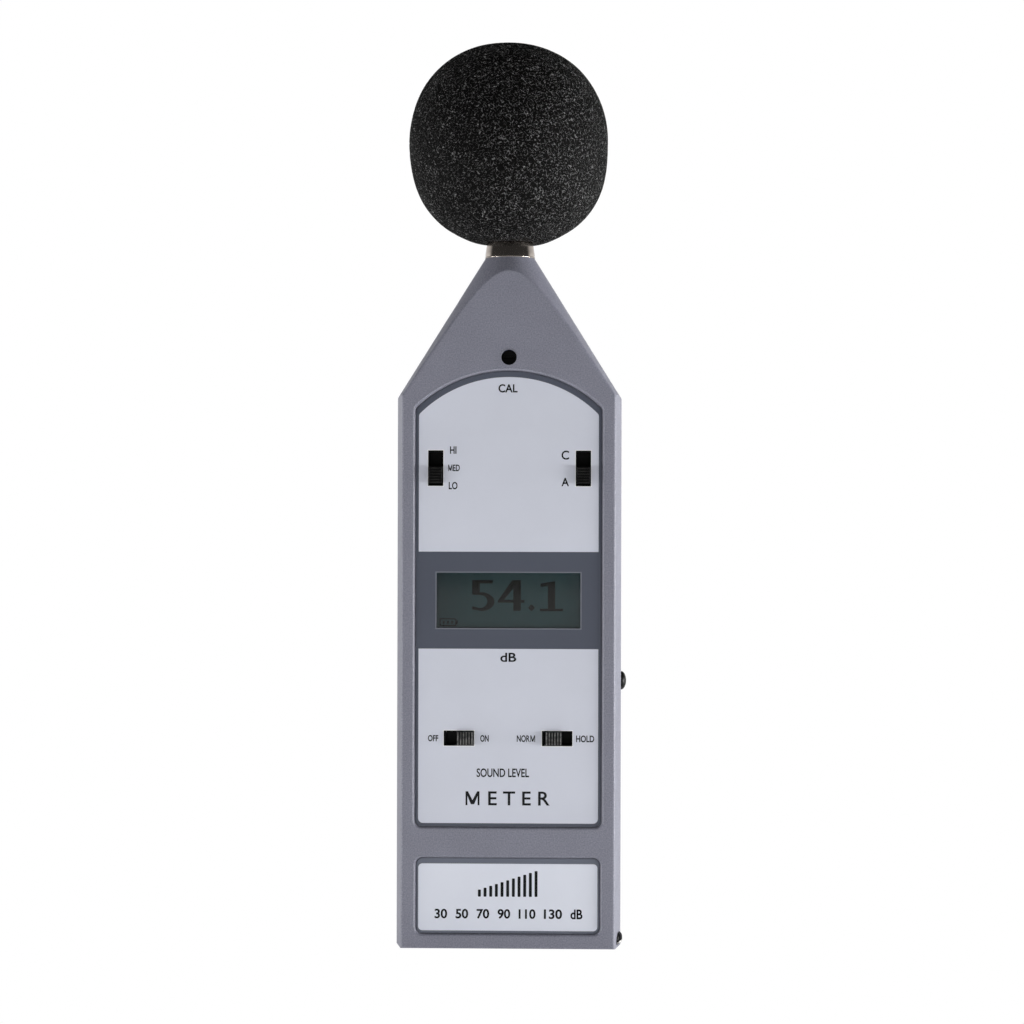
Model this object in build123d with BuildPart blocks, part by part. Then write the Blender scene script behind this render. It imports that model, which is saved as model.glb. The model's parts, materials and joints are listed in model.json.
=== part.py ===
"""Hand-held sound level meter: tapered two-shell housing, half-inch microphone on a
conical nose, foam windscreen, display, four slide switches, side button and 9 V battery.

Millimetres. +Z runs along the meter towards the microphone, -Y is the front face and
+X is the right-hand side seen from the front. The origin is on the microphone's axis,
in the plane of the flat bottom end.
"""

from math import hypot
import os

from build123d import *

# ---------------------------------------------------------------- driving dimensions
# Housing. The two shells meet in the plane of the microphone's axis, y = 0.
HALF_WIDTH = 35.0
SIDE_TAPER = 2.0
FRONT_Y = -10.5
BACK_Y = 16.5
SHOULDER_Z = 170.2
NECK_Z = 214.0
NECK_R = 7.7
CONE_SLOPE = (HALF_WIDTH - NECK_R) / (NECK_Z - SHOULDER_Z)
SIDE_WALL = 2.2
FRONT_WALL = 3.0
BACK_WALL = 2.2
BOTTOM_WALL = 2.5
FRONT_IN_Y = FRONT_Y + FRONT_WALL
BACK_IN_Y = BACK_Y - BACK_WALL
NECK_SOLID_Z = 204.5
NECK_BORE_R = 6.4
EDGE_R = 0.8
LIP_T = 1.0
LIP_H = 1.2
LIP_GAP = 0.15
SEAM_W = 0.4
SEAM_DEPTH = 0.25

# Recessed front panel and name plate.
RECESS_DEPTH = 1.6
RECESS_DRAFT = 0.35
PANEL_T = 0.6
PANEL_HALF_W = 29.1
PANEL_BOTTOM_Z = 37.3
PANEL_CORNER_Z = 167.1
PANEL_APEX_Z = 178.8
PLATE_HALF_W = 28.7
PLATE_BOTTOM_Z = 4.3
PLATE_TOP_Z = 28.3
RECESS_CORNER_R = 2.3
PANEL_GAP = 0.15
PANEL_BACK_Y = FRONT_Y + RECESS_DEPTH
RIM_DEPTH = 0.3
RIM_WIDTH = 0.4

# Display.
LCD_Z = 107.55
LCD_VIEW_W = 44.5
LCD_VIEW_H = 17.15
LCD_GLASS_W = 50.8
LCD_GLASS_H = 30.5
LCD_GLASS_T = 2.8
LCD_BACK_Y = -4.6
LCD_FRAME_W = 54.6
LCD_FRAME_H = 34.0
ZEBRA_OFFSET = 12.6
ZEBRA_L = 47.0
ZEBRA_W = 2.2

# Circuit board, on posts of the front shell.
BOARD_FRONT_Y = -1.6
BOARD_T = 1.6
BOARD_BACK_Y = BOARD_FRONT_Y + BOARD_T
BOARD_HALF_W = 31.0
BOARD_BOTTOM_Z = 60.0
BOARD_SHOULDER_Z = 163.0
BOARD_TONGUE_HALF_W = 11.0
BOARD_TONGUE_Z = 176.0
BOARD_TOP_Z = 196.0
BOARD_POSTS = [(-28.3, 66.0), (28.3, 66.0), (-28.3, 158.0), (28.3, 158.0)]
POST_R = 2.0
BOARD_SHANK_R = 1.1
BOARD_SHANK_L = 5.0
BOARD_HEAD_R = 2.1
BOARD_HEAD_H = 1.3

# Slide switches: name -> (centre x, centre z, slot length, runs along x, knob offset).
SLOT_W = 4.7
KNOB_L = 5.2
KNOB_W = 4.0
KNOB_FRONT_Y = -11.3
SWITCHES = {
    "range_switch": (-22.6, 148.4, 11.0, False, -2.1),
    "weighting_switch": (23.05, 148.4, 11.0, False, -2.1),
    "power_switch": (-15.2, 64.95, 9.4, True, 1.9),
    "mode_switch": (15.15, 64.95, 9.4, True, -1.1),
}
SLIDE_TRAVEL = {
    "range_switch": 4.2,
    "weighting_switch": 4.2,
    "power_switch": -3.0,
    "mode_switch": 3.0,
}
KNOB_RIDGE_PITCH = 0.9
KNOB_GROOVE_W = 0.4
KNOB_GROOVE_DEPTH = 0.45
SWITCH_L = 14.6
SWITCH_W = 6.8
SWITCH_FRONT_Y = -7.3
SWITCH_POCKET_Y = -4.0
SWITCH_POCKET_GAP = 0.35

# Calibration trimmer behind its screwdriver hole.
CAL_Z = 182.7
CAL_HOLE_R = 2.4
TRIMMER_SIDE = 9.5
TRIMMER_FRONT_Y = -6.4
ROTOR_R = 2.4
ROTOR_POCKET_R = 2.45
ROTOR_DEPTH = 1.8
ROTOR_SLOT_L = 3.8

# Parts on the back of the board: chips (x, z, length, width), electrolytic capacitors
# (x, z, radius, height) and rows of resistors (x, z, how many).
CHIPS = [(0, 105, 51, 13), (-16, 134, 19, 7), (14, 134, 19, 7), (0, 152, 10, 7)]
CHIP_PITCH = 2.54
CHIP_LEG_W = 0.5
CHIP_STANDOFF = 0.6
CHIP_T = 3.4
CAPACITORS = [(-24, 118, 2.5, 7.0), (24, 118, 2.5, 7.0), (-20, 90, 3.2, 9.0), (0, 166, 3.2, 7.0)]
RESISTOR_ROWS = [(-13, 144.5, 5), (13, 144.5, 5), (-17, 75, 3)]
RESISTOR_PITCH = 3.2
RESISTOR_L = 6.4
RESISTOR_R = 0.95
RESISTOR_LEG_R = 0.3
RESISTOR_LEG_SPAN = 5.4
RESISTOR_STANDOFF = 0.2

# Microphone, preamplifier tube and nickel collar.
TUBE_R = 6.35
TUBE_WALL = 0.8
TUBE_FLANGE_R = 7.3
TUBE_FLANGE_T = 1.4
TUBE_BOTTOM_Z = 197.0
MIC_JOINT_Z = 236.0
GRID_BOTTOM_Z = 243.0
MIC_TOP_Z = 250.0
GRID_R = 6.6
COLLAR_R = 7.85
COLLAR_LIP = 0.6
COLLAR_TOP_R = 6.75
COLLAR_TOP_Z = 222.0
PREAMP_BOTTOM_Z = 186.0
PREAMP_TOP_Z = 232.0
PREAMP_W = 8.0
PREAMP_T = 1.0
CAPSULE_BORE_R = 5.2
CAPSULE_RIM_R = 5.8
CAPSULE_RIM_H = 4.0
INSULATOR_Z = 240.0
INSULATOR_T = 2.5
CONTACT_R = 1.0
CONTACT_TAIL = 1.0
BACKPLATE_R = 4.6
BACKPLATE_T = 3.6
BACKPLATE_HOLE_R = 0.5
DIAPHRAGM_T = 0.1
GRID_WALL = 0.6
GRID_SLOTS = 10
GRID_SLOT_L = 4.4
GRID_SLOT_W = 0.7

# Foam windscreen.
FOAM_R = 31.2
FOAM_Z = 249.6
FOAM_BOTTOM_Z = 218.7
FOAM_TOP_Z = 281.3
FOAM_FLAT_R = 12.0
FOAM_BORE_R = 6.9
FOAM_MOUTH_R = 7.7
FOAM_MOUTH_TOP_Z = 223.0
FOAM_BORE_TOP_Z = 250.4
FOAM_SQUARENESS_LOW = 2.3
FOAM_SQUARENESS_HIGH = 2.16
FOAM_PROFILE_STEPS = (1.5, 5.0, 11.0, 20.0)

# Battery compartment, battery and door.
BAY_HALF_W = 14.0
BAY_WALL = 1.5
BAY_TOP_Z = 57.0
BAY_FLOOR_Y = -5.8
BAY_FLOOR_T = 1.0
BATTERY_SIZE = (26.2, 17.3, 46.3)
BATTERY_Y = 3.05
BATTERY_BOTTOM_Z = 3.0
BATTERY_TOP_Z = BATTERY_BOTTOM_Z + BATTERY_SIZE[2]
DOOR_HALF_W = 15.5
DOOR_TOP_Z = 58.0
DOOR_T = 2.0
DOOR_GAP = 0.3
DOOR_TONGUE = 1.5
DOOR_TONGUE_T = 0.8
DOOR_IN_Y = BACK_Y - DOOR_T
RAIL_HALF_W = 19.3
RAIL_TOP_Z = 60.5
RAIL_Y = 12.7
DOOR_RIB_COUNT = 5
DOOR_RIB_PITCH = 2.0
LEAD_X = 3.0
LEAD_Y = 5.5
LEAD_R = 0.6
LEAD_END_Z = 68.0
SNAP_SIZE = (25.0, 12.6, 4.5)
TERMINAL_X = 6.35
TERMINAL_R = (2.9, 4.0)
TERMINAL_H = 2.6
PAD_SIZE = (20.0, 2.2, 30.0)
PAD_GAP = 0.4

# Side button.
BUTTON_Y = 5.0
BUTTON_Z = 82.1
BUTTON_R = 2.9
BUTTON_HOLE_R = 3.15
BUTTON_TIP_X = 36.7
BUTTON_RIM_X = 35.1
BUTTON_FLANGE_R = 3.8
BUTTON_FLANGE_X = 31.6
BUTTON_FLANGE_T = 0.8
PLUNGER_R = 1.7
PLUNGER_IN_X = 27.0
RESET_SWITCH_X = (24.0, 29.4)
RESET_SWITCH_TOP_Y = 8.2
RESET_SWITCH_H = 6.4
RESET_POCKET_X = 25.6

# Strap loop, set slantwise low on the right side: its back leg is the higher one.
LOOP_WIRE_R = 0.5
LOOP_BEND_R = 2.5
LOOP_X = 35.0
LOOP_BACK_LEG = (-1.6, 4.5)
LOOP_FRONT_LEG = (-6.6, 1.25)
LOOP_END_X = 29.5
STRAP_BLOCK_IN_X = 28.5
STRAP_BLOCK_Y = (-8.0, -0.3)
STRAP_BLOCK_TOP_Z = 6.8

# Tripod socket and rear rating label.
TRIPOD_Z = 78.0
TRIPOD_R = 3.175
TRIPOD_INSERT_R = 4.9
TRIPOD_BOSS_R = 7.0
TRIPOD_DEPTH = 8.0
TRIPOD_BOSS_L = 6.9
LABEL_Z = 112.0
LABEL_W = 46.0
LABEL_H = 32.0
LABEL_RECESS = 0.4
LABEL_T = 0.3

# Fasteners.
CASE_SCREWS = [(-27.0, 14.0), (27.0, 14.0), (-17.5, 183.0), (17.5, 183.0)]
CASE_BOSS_R = 3.6
CASE_HEAD_R = 2.6
CASE_SHANK_R = 1.4
CASE_HEAD_H = 2.0
CASE_SEAT_Y = 11.5
CASE_TIP_Y = -6.8
CASE_JOINT_Y = 0.0
CROSS_L = 2.6
CROSS_W = 0.6
CROSS_DEPTH = 0.9

# Small clearances: a fit inside one assembly, and a loose hole.
FIT = 0.05
CLEARANCE = 0.25
SLOT_CLEARANCE = 0.6
WINDOW_MARGIN = 1.0

# How far a cut or a joining solid runs past the face that it meets.
OVERRUN = 1.0
ROOT = 0.6


def half_width_at(y):
    """Half the housing's outside width at a depth y: widest in the parting plane."""
    depth = FRONT_Y if y < 0 else BACK_Y
    return HALF_WIDTH - SIDE_TAPER * y / depth


def cone_radius(z):
    """Outside radius of the nose cone at a height z."""
    return NECK_R + CONE_SLOPE * (NECK_Z - z)


def facing_front(y):
    """A sketch plane at depth y whose normal points to the front, with local x, y = X, Z."""
    return Plane.XZ.offset(-y)


def housing_solid(side, front_y, back_y, bottom, cone, top=NECK_Z):
    """The housing's outer form, moved in by the given walls: a tapered prism cut by the cone."""
    with BuildPart() as solid:
        with BuildSketch(Plane.XY.offset(bottom)):
            with BuildLine():
                Polyline(
                    (half_width_at(front_y) - side, front_y),
                    (HALF_WIDTH - side, 0),
                    (half_width_at(back_y) - side, back_y),
                    (side - half_width_at(back_y), back_y),
                    (side - HALF_WIDTH, 0),
                    (side - half_width_at(front_y), front_y),
                    close=True,
                )
            make_face()
        extrude(amount=top - bottom)
        with BuildSketch(Plane.XZ):
            with BuildLine():
                Polyline(
                    (0, 0),
                    (cone_radius(0) - cone, 0),
                    (cone_radius(top) - cone, top),
                    (0, top),
                    close=True,
                )
            make_face()
        revolve(axis=Axis.Z, mode=Mode.INTERSECT)
    return solid.part


def foam_radius(z):
    """The windscreen's radius at a height z: a ball squarer than a sphere, most so underneath."""
    reach = abs(z - FOAM_Z) / (FOAM_TOP_Z - FOAM_Z)
    power = FOAM_SQUARENESS_LOW if z < FOAM_Z else FOAM_SQUARENESS_HIGH
    return FOAM_R * (1 - reach**power) ** (1 / power)


def cavity(extra=0.0):
    """The housing's inside, made wider all round by extra."""
    return housing_solid(
        SIDE_WALL - extra,
        FRONT_IN_Y,
        BACK_IN_Y,
        BOTTOM_WALL - extra,
        SIDE_WALL * hypot(1, CONE_SLOPE) - extra,
        NECK_SOLID_Z,
    )


def slab(y_from, y_to):
    """A block over the whole housing between two depths."""
    with BuildPart() as block:
        with BuildSketch(facing_front(y_from)):
            with Locations((0, NECK_Z / 2)):
                Rectangle(2 * (HALF_WIDTH + OVERRUN), NECK_Z + 2 * OVERRUN)
        extrude(amount=y_from - y_to)
    return block.part


def lip(extra):
    """The shells' overlapping lip: a ring within the wall's thickness, behind the parting plane."""
    with BuildPart() as ring:
        add(cavity(LIP_T + extra))
        add(cavity(), mode=Mode.SUBTRACT)
        add(slab(0, LIP_H + extra), mode=Mode.INTERSECT)
    return ring.part


def arched_outline(inset):
    """The main panel's outline in the open sketch: straight sides under a shallow arch."""
    half = PANEL_HALF_W - inset
    corner = PANEL_CORNER_Z - inset
    bottom = PANEL_BOTTOM_Z + inset
    with BuildLine() as border:
        ThreePointArc((half, corner), (0, PANEL_APEX_Z - inset), (-half, corner))
        Polyline((-half, corner), (-half, bottom), (half, bottom), (half, corner))
    made = make_face(border.edges())
    fillet(made.vertices().group_by(Axis.Z)[0], RECESS_CORNER_R - inset)


def plate_outline(inset):
    """The name plate's outline in the open sketch."""
    with Locations((0, (PLATE_BOTTOM_Z + PLATE_TOP_Z) / 2)):
        RectangleRounded(
            2 * (PLATE_HALF_W - inset),
            PLATE_TOP_Z - PLATE_BOTTOM_Z - 2 * inset,
            RECESS_CORNER_R - inset,
        )


def recess(outline):
    """A shallow pocket in the front face with drafted walls and a bevelled rim."""
    with BuildPart() as pocket:
        with BuildSketch(facing_front(PANEL_BACK_Y)):
            outline(RECESS_DRAFT)
        with BuildSketch(facing_front(FRONT_Y + RIM_DEPTH)):
            outline(0)
        with BuildSketch(facing_front(FRONT_Y)):
            outline(-RIM_WIDTH)
        loft(ruled=True)
    return pocket.part


def switch_box(along_x, length, width, mode=Mode.ADD):
    """A rectangle in the open sketch, its length along x or along the meter."""
    if along_x:
        Rectangle(length, width, mode=mode)
    else:
        Rectangle(width, length, mode=mode)


def switch_slots(grow, mode=Mode.ADD):
    """All four switch slots in the open sketch, larger by grow."""
    for x, z, length, along_x, _ in SWITCHES.values():
        with Locations((x, z)):
            switch_box(along_x, length + grow, SLOT_W + grow, mode)


def strap_wire(radius):
    """The strap loop's wire of the given radius: two legs joined by a rounded bend."""
    with BuildPart() as wire:
        with BuildLine() as path:
            FilletPolyline(
                (LOOP_END_X, *LOOP_BACK_LEG),
                (LOOP_X, *LOOP_BACK_LEG),
                (LOOP_X, *LOOP_FRONT_LEG),
                (LOOP_END_X, *LOOP_FRONT_LEG),
                radius=LOOP_BEND_R,
            )
        with BuildSketch(Plane.YZ.offset(LOOP_END_X)):
            with Locations(LOOP_BACK_LEG):
                Circle(radius)
        sweep(path=path.wires()[0])
    return wire.part


# ---------------------------------------------------------------- housing shells
outer_form = housing_solid(0, FRONT_Y, BACK_Y, 0, 0)
inner_form = cavity()
front_lip = lip(0)
lip_groove = lip(LIP_GAP)
panel_recess = recess(arched_outline)
plate_recess = recess(plate_outline)
strap_hole = strap_wire(LOOP_WIRE_R + FIT)
seam = (
    housing_solid(-OVERRUN, FRONT_Y, BACK_Y, -OVERRUN, -OVERRUN)
    - housing_solid(SEAM_DEPTH, FRONT_Y, BACK_Y, SEAM_DEPTH, SEAM_DEPTH)
) & slab(-SEAM_W / 2, SEAM_W / 2)

with BuildPart() as front_shell:
    add(outer_form)
    fillet(front_shell.faces().sort_by(Axis.Y)[0].edges(), EDGE_R)
    add(inner_form, mode=Mode.SUBTRACT)
    split(bisect_by=Plane.XZ, keep=Keep.TOP)
    add(front_lip)
    add(panel_recess, mode=Mode.SUBTRACT)
    add(plate_recess, mode=Mode.SUBTRACT)
    # Board posts, and bosses for the case screws.
    with BuildSketch(facing_front(BOARD_FRONT_Y)):
        with Locations(*BOARD_POSTS):
            Circle(POST_R)
    extrude(amount=BOARD_FRONT_Y - FRONT_IN_Y + ROOT)
    with BuildSketch(facing_front(CASE_JOINT_Y)):
        with Locations(*CASE_SCREWS):
            Circle(CASE_BOSS_R)
    extrude(amount=CASE_JOINT_Y - FRONT_IN_Y + ROOT)
    # Block that holds the strap loop's legs.
    with BuildSketch(Plane.YZ.offset(STRAP_BLOCK_IN_X)):
        with Locations((sum(STRAP_BLOCK_Y) / 2, (ROOT + STRAP_BLOCK_TOP_Z) / 2)):
            Rectangle(STRAP_BLOCK_Y[1] - STRAP_BLOCK_Y[0], STRAP_BLOCK_TOP_Z - ROOT)
    extrude(amount=HALF_WIDTH - SIDE_TAPER - STRAP_BLOCK_IN_X)
    # Pilot holes, in the case bosses and in the board posts.
    with BuildSketch(facing_front(CASE_JOINT_Y)):
        with Locations(*CASE_SCREWS):
            Circle(CASE_SHANK_R + FIT)
    extrude(amount=CASE_JOINT_Y - FRONT_IN_Y, mode=Mode.SUBTRACT)
    with BuildSketch(facing_front(BOARD_FRONT_Y)):
        with Locations(*BOARD_POSTS):
            Circle(BOARD_SHANK_R + FIT)
    extrude(amount=BOARD_SHANK_L, mode=Mode.SUBTRACT)
    # Display window, switch slots and screwdriver hole.
    with BuildSketch(facing_front(FRONT_IN_Y + OVERRUN)):
        switch_slots(SLOT_CLEARANCE)
        with Locations((0, LCD_Z)):
            Rectangle(LCD_VIEW_W + WINDOW_MARGIN, LCD_VIEW_H + WINDOW_MARGIN)
        with Locations((0, CAL_Z)):
            Circle(CAL_HOLE_R)
    extrude(amount=FRONT_WALL + 2 * OVERRUN, mode=Mode.SUBTRACT)
    # Neck bore, seam and the holes for the strap loop.
    with Locations((0, 0, NECK_Z)):
        Cylinder(NECK_BORE_R, 2 * (NECK_Z - NECK_SOLID_Z + OVERRUN), mode=Mode.SUBTRACT)
    add(seam, mode=Mode.SUBTRACT)
    add(strap_hole, mode=Mode.SUBTRACT)

with BuildPart() as rear_shell:
    add(outer_form)
    fillet(rear_shell.faces().sort_by(Axis.Y)[-1].edges(), 2 * EDGE_R)
    add(inner_form, mode=Mode.SUBTRACT)
    split(bisect_by=Plane.XZ, keep=Keep.BOTTOM)
    add(lip_groove, mode=Mode.SUBTRACT)
    # Battery compartment with rails along the door.
    with BuildSketch(facing_front(BACK_IN_Y)):
        with Locations((0, (BOTTOM_WALL + BAY_TOP_Z + BAY_WALL) / 2)):
            Rectangle(2 * (BAY_HALF_W + BAY_WALL), BAY_TOP_Z + BAY_WALL - BOTTOM_WALL)
    extrude(amount=BACK_IN_Y - BAY_FLOOR_Y + BAY_FLOOR_T)
    with BuildSketch(facing_front(BACK_IN_Y + ROOT)):
        with Locations((0, (BOTTOM_WALL + RAIL_TOP_Z) / 2)):
            Rectangle(2 * RAIL_HALF_W, RAIL_TOP_Z - BOTTOM_WALL)
    extrude(amount=BACK_IN_Y + ROOT - RAIL_Y)
    # Bosses for the case screws and the tripod insert.
    with BuildSketch(facing_front(CASE_JOINT_Y)):
        with Locations(*CASE_SCREWS):
            Circle(CASE_BOSS_R)
    extrude(amount=-(BACK_IN_Y + ROOT))
    with BuildSketch(facing_front(BACK_IN_Y + ROOT)):
        with Locations((0, TRIPOD_Z)):
            Circle(TRIPOD_BOSS_R)
    extrude(amount=TRIPOD_BOSS_L)
    # Compartment, its door opening and the tongues' rebates.
    with BuildSketch(facing_front(BAY_FLOOR_Y)):
        with Locations((0, (BOTTOM_WALL + BAY_TOP_Z) / 2)):
            Rectangle(2 * BAY_HALF_W, BAY_TOP_Z - BOTTOM_WALL)
    extrude(amount=-2 * BACK_Y, mode=Mode.SUBTRACT)
    with BuildSketch(facing_front(DOOR_IN_Y - DOOR_GAP)):
        with Locations((0, (DOOR_TOP_Z + DOOR_GAP) / 2)):
            Rectangle(2 * (DOOR_HALF_W + DOOR_TONGUE + DOOR_GAP), DOOR_TOP_Z + DOOR_GAP)
    extrude(amount=-(DOOR_TONGUE_T + 2 * DOOR_GAP), mode=Mode.SUBTRACT)
    with BuildSketch(facing_front(DOOR_IN_Y)):
        with Locations((0, (DOOR_TOP_Z + DOOR_GAP) / 2)):
            Rectangle(2 * (DOOR_HALF_W + DOOR_GAP), DOOR_TOP_Z + DOOR_GAP)
    extrude(amount=-2 * DOOR_T, mode=Mode.SUBTRACT)
    # Wire holes through the compartment's end.
    with BuildSketch(Plane.XY.offset(BAY_TOP_Z)):
        with Locations((-LEAD_X, LEAD_Y), (LEAD_X, LEAD_Y)):
            Circle(2 * LEAD_R)
    extrude(amount=BAY_WALL, mode=Mode.SUBTRACT)
    # Sunk screw holes and the insert's seat.
    with BuildSketch(facing_front(CASE_JOINT_Y)):
        with Locations(*CASE_SCREWS):
            Circle(CASE_SHANK_R + CLEARANCE)
    extrude(amount=-2 * BACK_Y, mode=Mode.SUBTRACT)
    with BuildSketch(facing_front(CASE_SEAT_Y)):
        with Locations(*CASE_SCREWS):
            Circle(CASE_HEAD_R + CLEARANCE)
    extrude(amount=-BACK_Y, mode=Mode.SUBTRACT)
    with BuildSketch(facing_front(BACK_Y)):
        with Locations((0, TRIPOD_Z)):
            Circle(TRIPOD_INSERT_R)
    extrude(amount=TRIPOD_DEPTH, mode=Mode.SUBTRACT)
    # Rear label's recess and the side button's hole.
    with BuildSketch(facing_front(BACK_Y)):
        with Locations((0, LABEL_Z)):
            RectangleRounded(LABEL_W, LABEL_H, RECESS_CORNER_R)
    extrude(amount=LABEL_RECESS, mode=Mode.SUBTRACT)
    with BuildSketch(Plane.YZ.offset(BUTTON_FLANGE_X - OVERRUN)):
        with Locations((BUTTON_Y, BUTTON_Z)):
            Circle(BUTTON_HOLE_R)
    extrude(amount=HALF_WIDTH - BUTTON_FLANGE_X + 2 * OVERRUN, mode=Mode.SUBTRACT)
    # Neck bore and seam.
    with Locations((0, 0, NECK_Z)):
        Cylinder(NECK_BORE_R, 2 * (NECK_Z - NECK_SOLID_Z + OVERRUN), mode=Mode.SUBTRACT)
    add(seam, mode=Mode.SUBTRACT)

# ---------------------------------------------------------------- front panel, name plate, window
with BuildPart() as front_overlay:
    with BuildSketch(facing_front(PANEL_BACK_Y)):
        arched_outline(RECESS_DRAFT + PANEL_GAP)
        with Locations((0, LCD_Z)):
            Rectangle(LCD_VIEW_W, LCD_VIEW_H, mode=Mode.SUBTRACT)
        switch_slots(0, Mode.SUBTRACT)
    extrude(amount=PANEL_T)

with BuildPart() as name_plate:
    with BuildSketch(facing_front(PANEL_BACK_Y)):
        plate_outline(RECESS_DRAFT + PANEL_GAP)
    extrude(amount=PANEL_T)

with BuildPart() as display_window:
    with BuildSketch(facing_front(FRONT_IN_Y)):
        with Locations((0, LCD_Z)):
            Rectangle(
                LCD_VIEW_W + WINDOW_MARGIN - 2 * FIT,
                LCD_VIEW_H + WINDOW_MARGIN - 2 * FIT,
            )
    extrude(amount=FRONT_IN_Y - PANEL_BACK_Y)

with BuildPart() as rating_label:
    with BuildSketch(facing_front(BACK_Y - LABEL_RECESS)):
        with Locations((0, LABEL_Z)):
            RectangleRounded(
                LABEL_W - 2 * PANEL_GAP, LABEL_H - 2 * PANEL_GAP, RECESS_CORNER_R - PANEL_GAP
            )
    extrude(amount=-LABEL_T)

# ---------------------------------------------------------------- display
with BuildPart() as lcd_glass:
    with BuildSketch(facing_front(LCD_BACK_Y)):
        with Locations((0, LCD_Z)):
            Rectangle(LCD_GLASS_W, LCD_GLASS_H)
    extrude(amount=LCD_GLASS_T)

with BuildPart() as lcd_frame:
    with BuildSketch(facing_front(BOARD_FRONT_Y)):
        with Locations((0, LCD_Z)):
            Rectangle(LCD_FRAME_W, LCD_FRAME_H)
    extrude(amount=BOARD_FRONT_Y - LCD_BACK_Y + LCD_GLASS_T / 2)
    with BuildSketch(facing_front(LCD_BACK_Y)):
        with Locations((0, LCD_Z)):
            Rectangle(LCD_GLASS_W + 2 * FIT, LCD_GLASS_H + 2 * FIT)
    extrude(amount=LCD_GLASS_T, mode=Mode.SUBTRACT)
    with BuildSketch(facing_front(BOARD_FRONT_Y)):
        with Locations((0, LCD_Z)):
            Rectangle(LCD_VIEW_W, LCD_VIEW_H)
        with Locations((0, LCD_Z - ZEBRA_OFFSET), (0, LCD_Z + ZEBRA_OFFSET)):
            Rectangle(ZEBRA_L + 2 * FIT, ZEBRA_W + 2 * FIT)
    extrude(amount=BOARD_FRONT_Y - LCD_BACK_Y, mode=Mode.SUBTRACT)

with BuildPart() as zebra_strips:
    with BuildSketch(facing_front(BOARD_FRONT_Y)):
        with Locations((0, LCD_Z - ZEBRA_OFFSET), (0, LCD_Z + ZEBRA_OFFSET)):
            Rectangle(ZEBRA_L, ZEBRA_W)
    extrude(amount=BOARD_FRONT_Y - LCD_BACK_Y)

# ---------------------------------------------------------------- circuit board
with BuildPart() as main_board:
    with BuildSketch(facing_front(BOARD_BACK_Y)):
        with BuildLine():
            Polyline(
                (BOARD_HALF_W, BOARD_BOTTOM_Z),
                (BOARD_HALF_W, BOARD_SHOULDER_Z),
                (BOARD_TONGUE_HALF_W, BOARD_TONGUE_Z),
                (BOARD_TONGUE_HALF_W, BOARD_TOP_Z),
                (-BOARD_TONGUE_HALF_W, BOARD_TOP_Z),
                (-BOARD_TONGUE_HALF_W, BOARD_TONGUE_Z),
                (-BOARD_HALF_W, BOARD_SHOULDER_Z),
                (-BOARD_HALF_W, BOARD_BOTTOM_Z),
                close=True,
            )
        make_face()
        with Locations(*BOARD_POSTS):
            Circle(BOARD_SHANK_R + CLEARANCE, mode=Mode.SUBTRACT)
    extrude(amount=BOARD_T)

with BuildPart() as board_screws:
    with BuildSketch(facing_front(BOARD_BACK_Y)):
        with Locations(*BOARD_POSTS):
            Circle(BOARD_SHANK_R)
    extrude(amount=BOARD_T + BOARD_SHANK_L - CLEARANCE)
    with BuildSketch(facing_front(BOARD_BACK_Y)):
        with Locations(*BOARD_POSTS):
            Circle(BOARD_HEAD_R)
    extrude(amount=-BOARD_HEAD_H)
    with BuildSketch(facing_front(BOARD_BACK_Y + BOARD_HEAD_H)):
        with Locations(*BOARD_POSTS):
            Rectangle(CROSS_L, CROSS_W)
            Rectangle(CROSS_W, CROSS_L)
    extrude(amount=BOARD_HEAD_H / 2, mode=Mode.SUBTRACT)

with BuildPart() as integrated_circuits:
    with BuildSketch(facing_front(BOARD_BACK_Y + CHIP_STANDOFF)):
        for x, z, length, width in CHIPS:
            with Locations((x, z)):
                Rectangle(length, width)
    extrude(amount=-CHIP_T)
    # Rows of legs along the two long sides, standing on the board.
    with BuildSketch(facing_front(BOARD_BACK_Y)):
        for x, z, length, width in CHIPS:
            with Locations((x, z)):
                with GridLocations(CHIP_PITCH, width, round(length / CHIP_PITCH), 2):
                    Rectangle(CHIP_LEG_W, CHIP_LEG_W)
    extrude(amount=-(CHIP_STANDOFF + CHIP_T / 2))

with BuildPart() as capacitors:
    for x, z, radius, height in CAPACITORS:
        with BuildSketch(facing_front(BOARD_BACK_Y)):
            with Locations((x, z)):
                Circle(radius)
        extrude(amount=-height)

with BuildPart() as resistors:
    for x, z, count in RESISTOR_ROWS:
        with BuildSketch(Plane.XY.offset(z - RESISTOR_L / 2)):
            with Locations((x, BOARD_BACK_Y + RESISTOR_R + RESISTOR_STANDOFF)):
                with GridLocations(RESISTOR_PITCH, 1, count, 1):
                    Circle(RESISTOR_R)
        extrude(amount=RESISTOR_L)
        with BuildSketch(facing_front(BOARD_BACK_Y)):
            with Locations((x, z)):
                with GridLocations(RESISTOR_PITCH, RESISTOR_LEG_SPAN, count, 2):
                    Circle(RESISTOR_LEG_R)
        extrude(amount=-RESISTOR_R)

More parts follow.
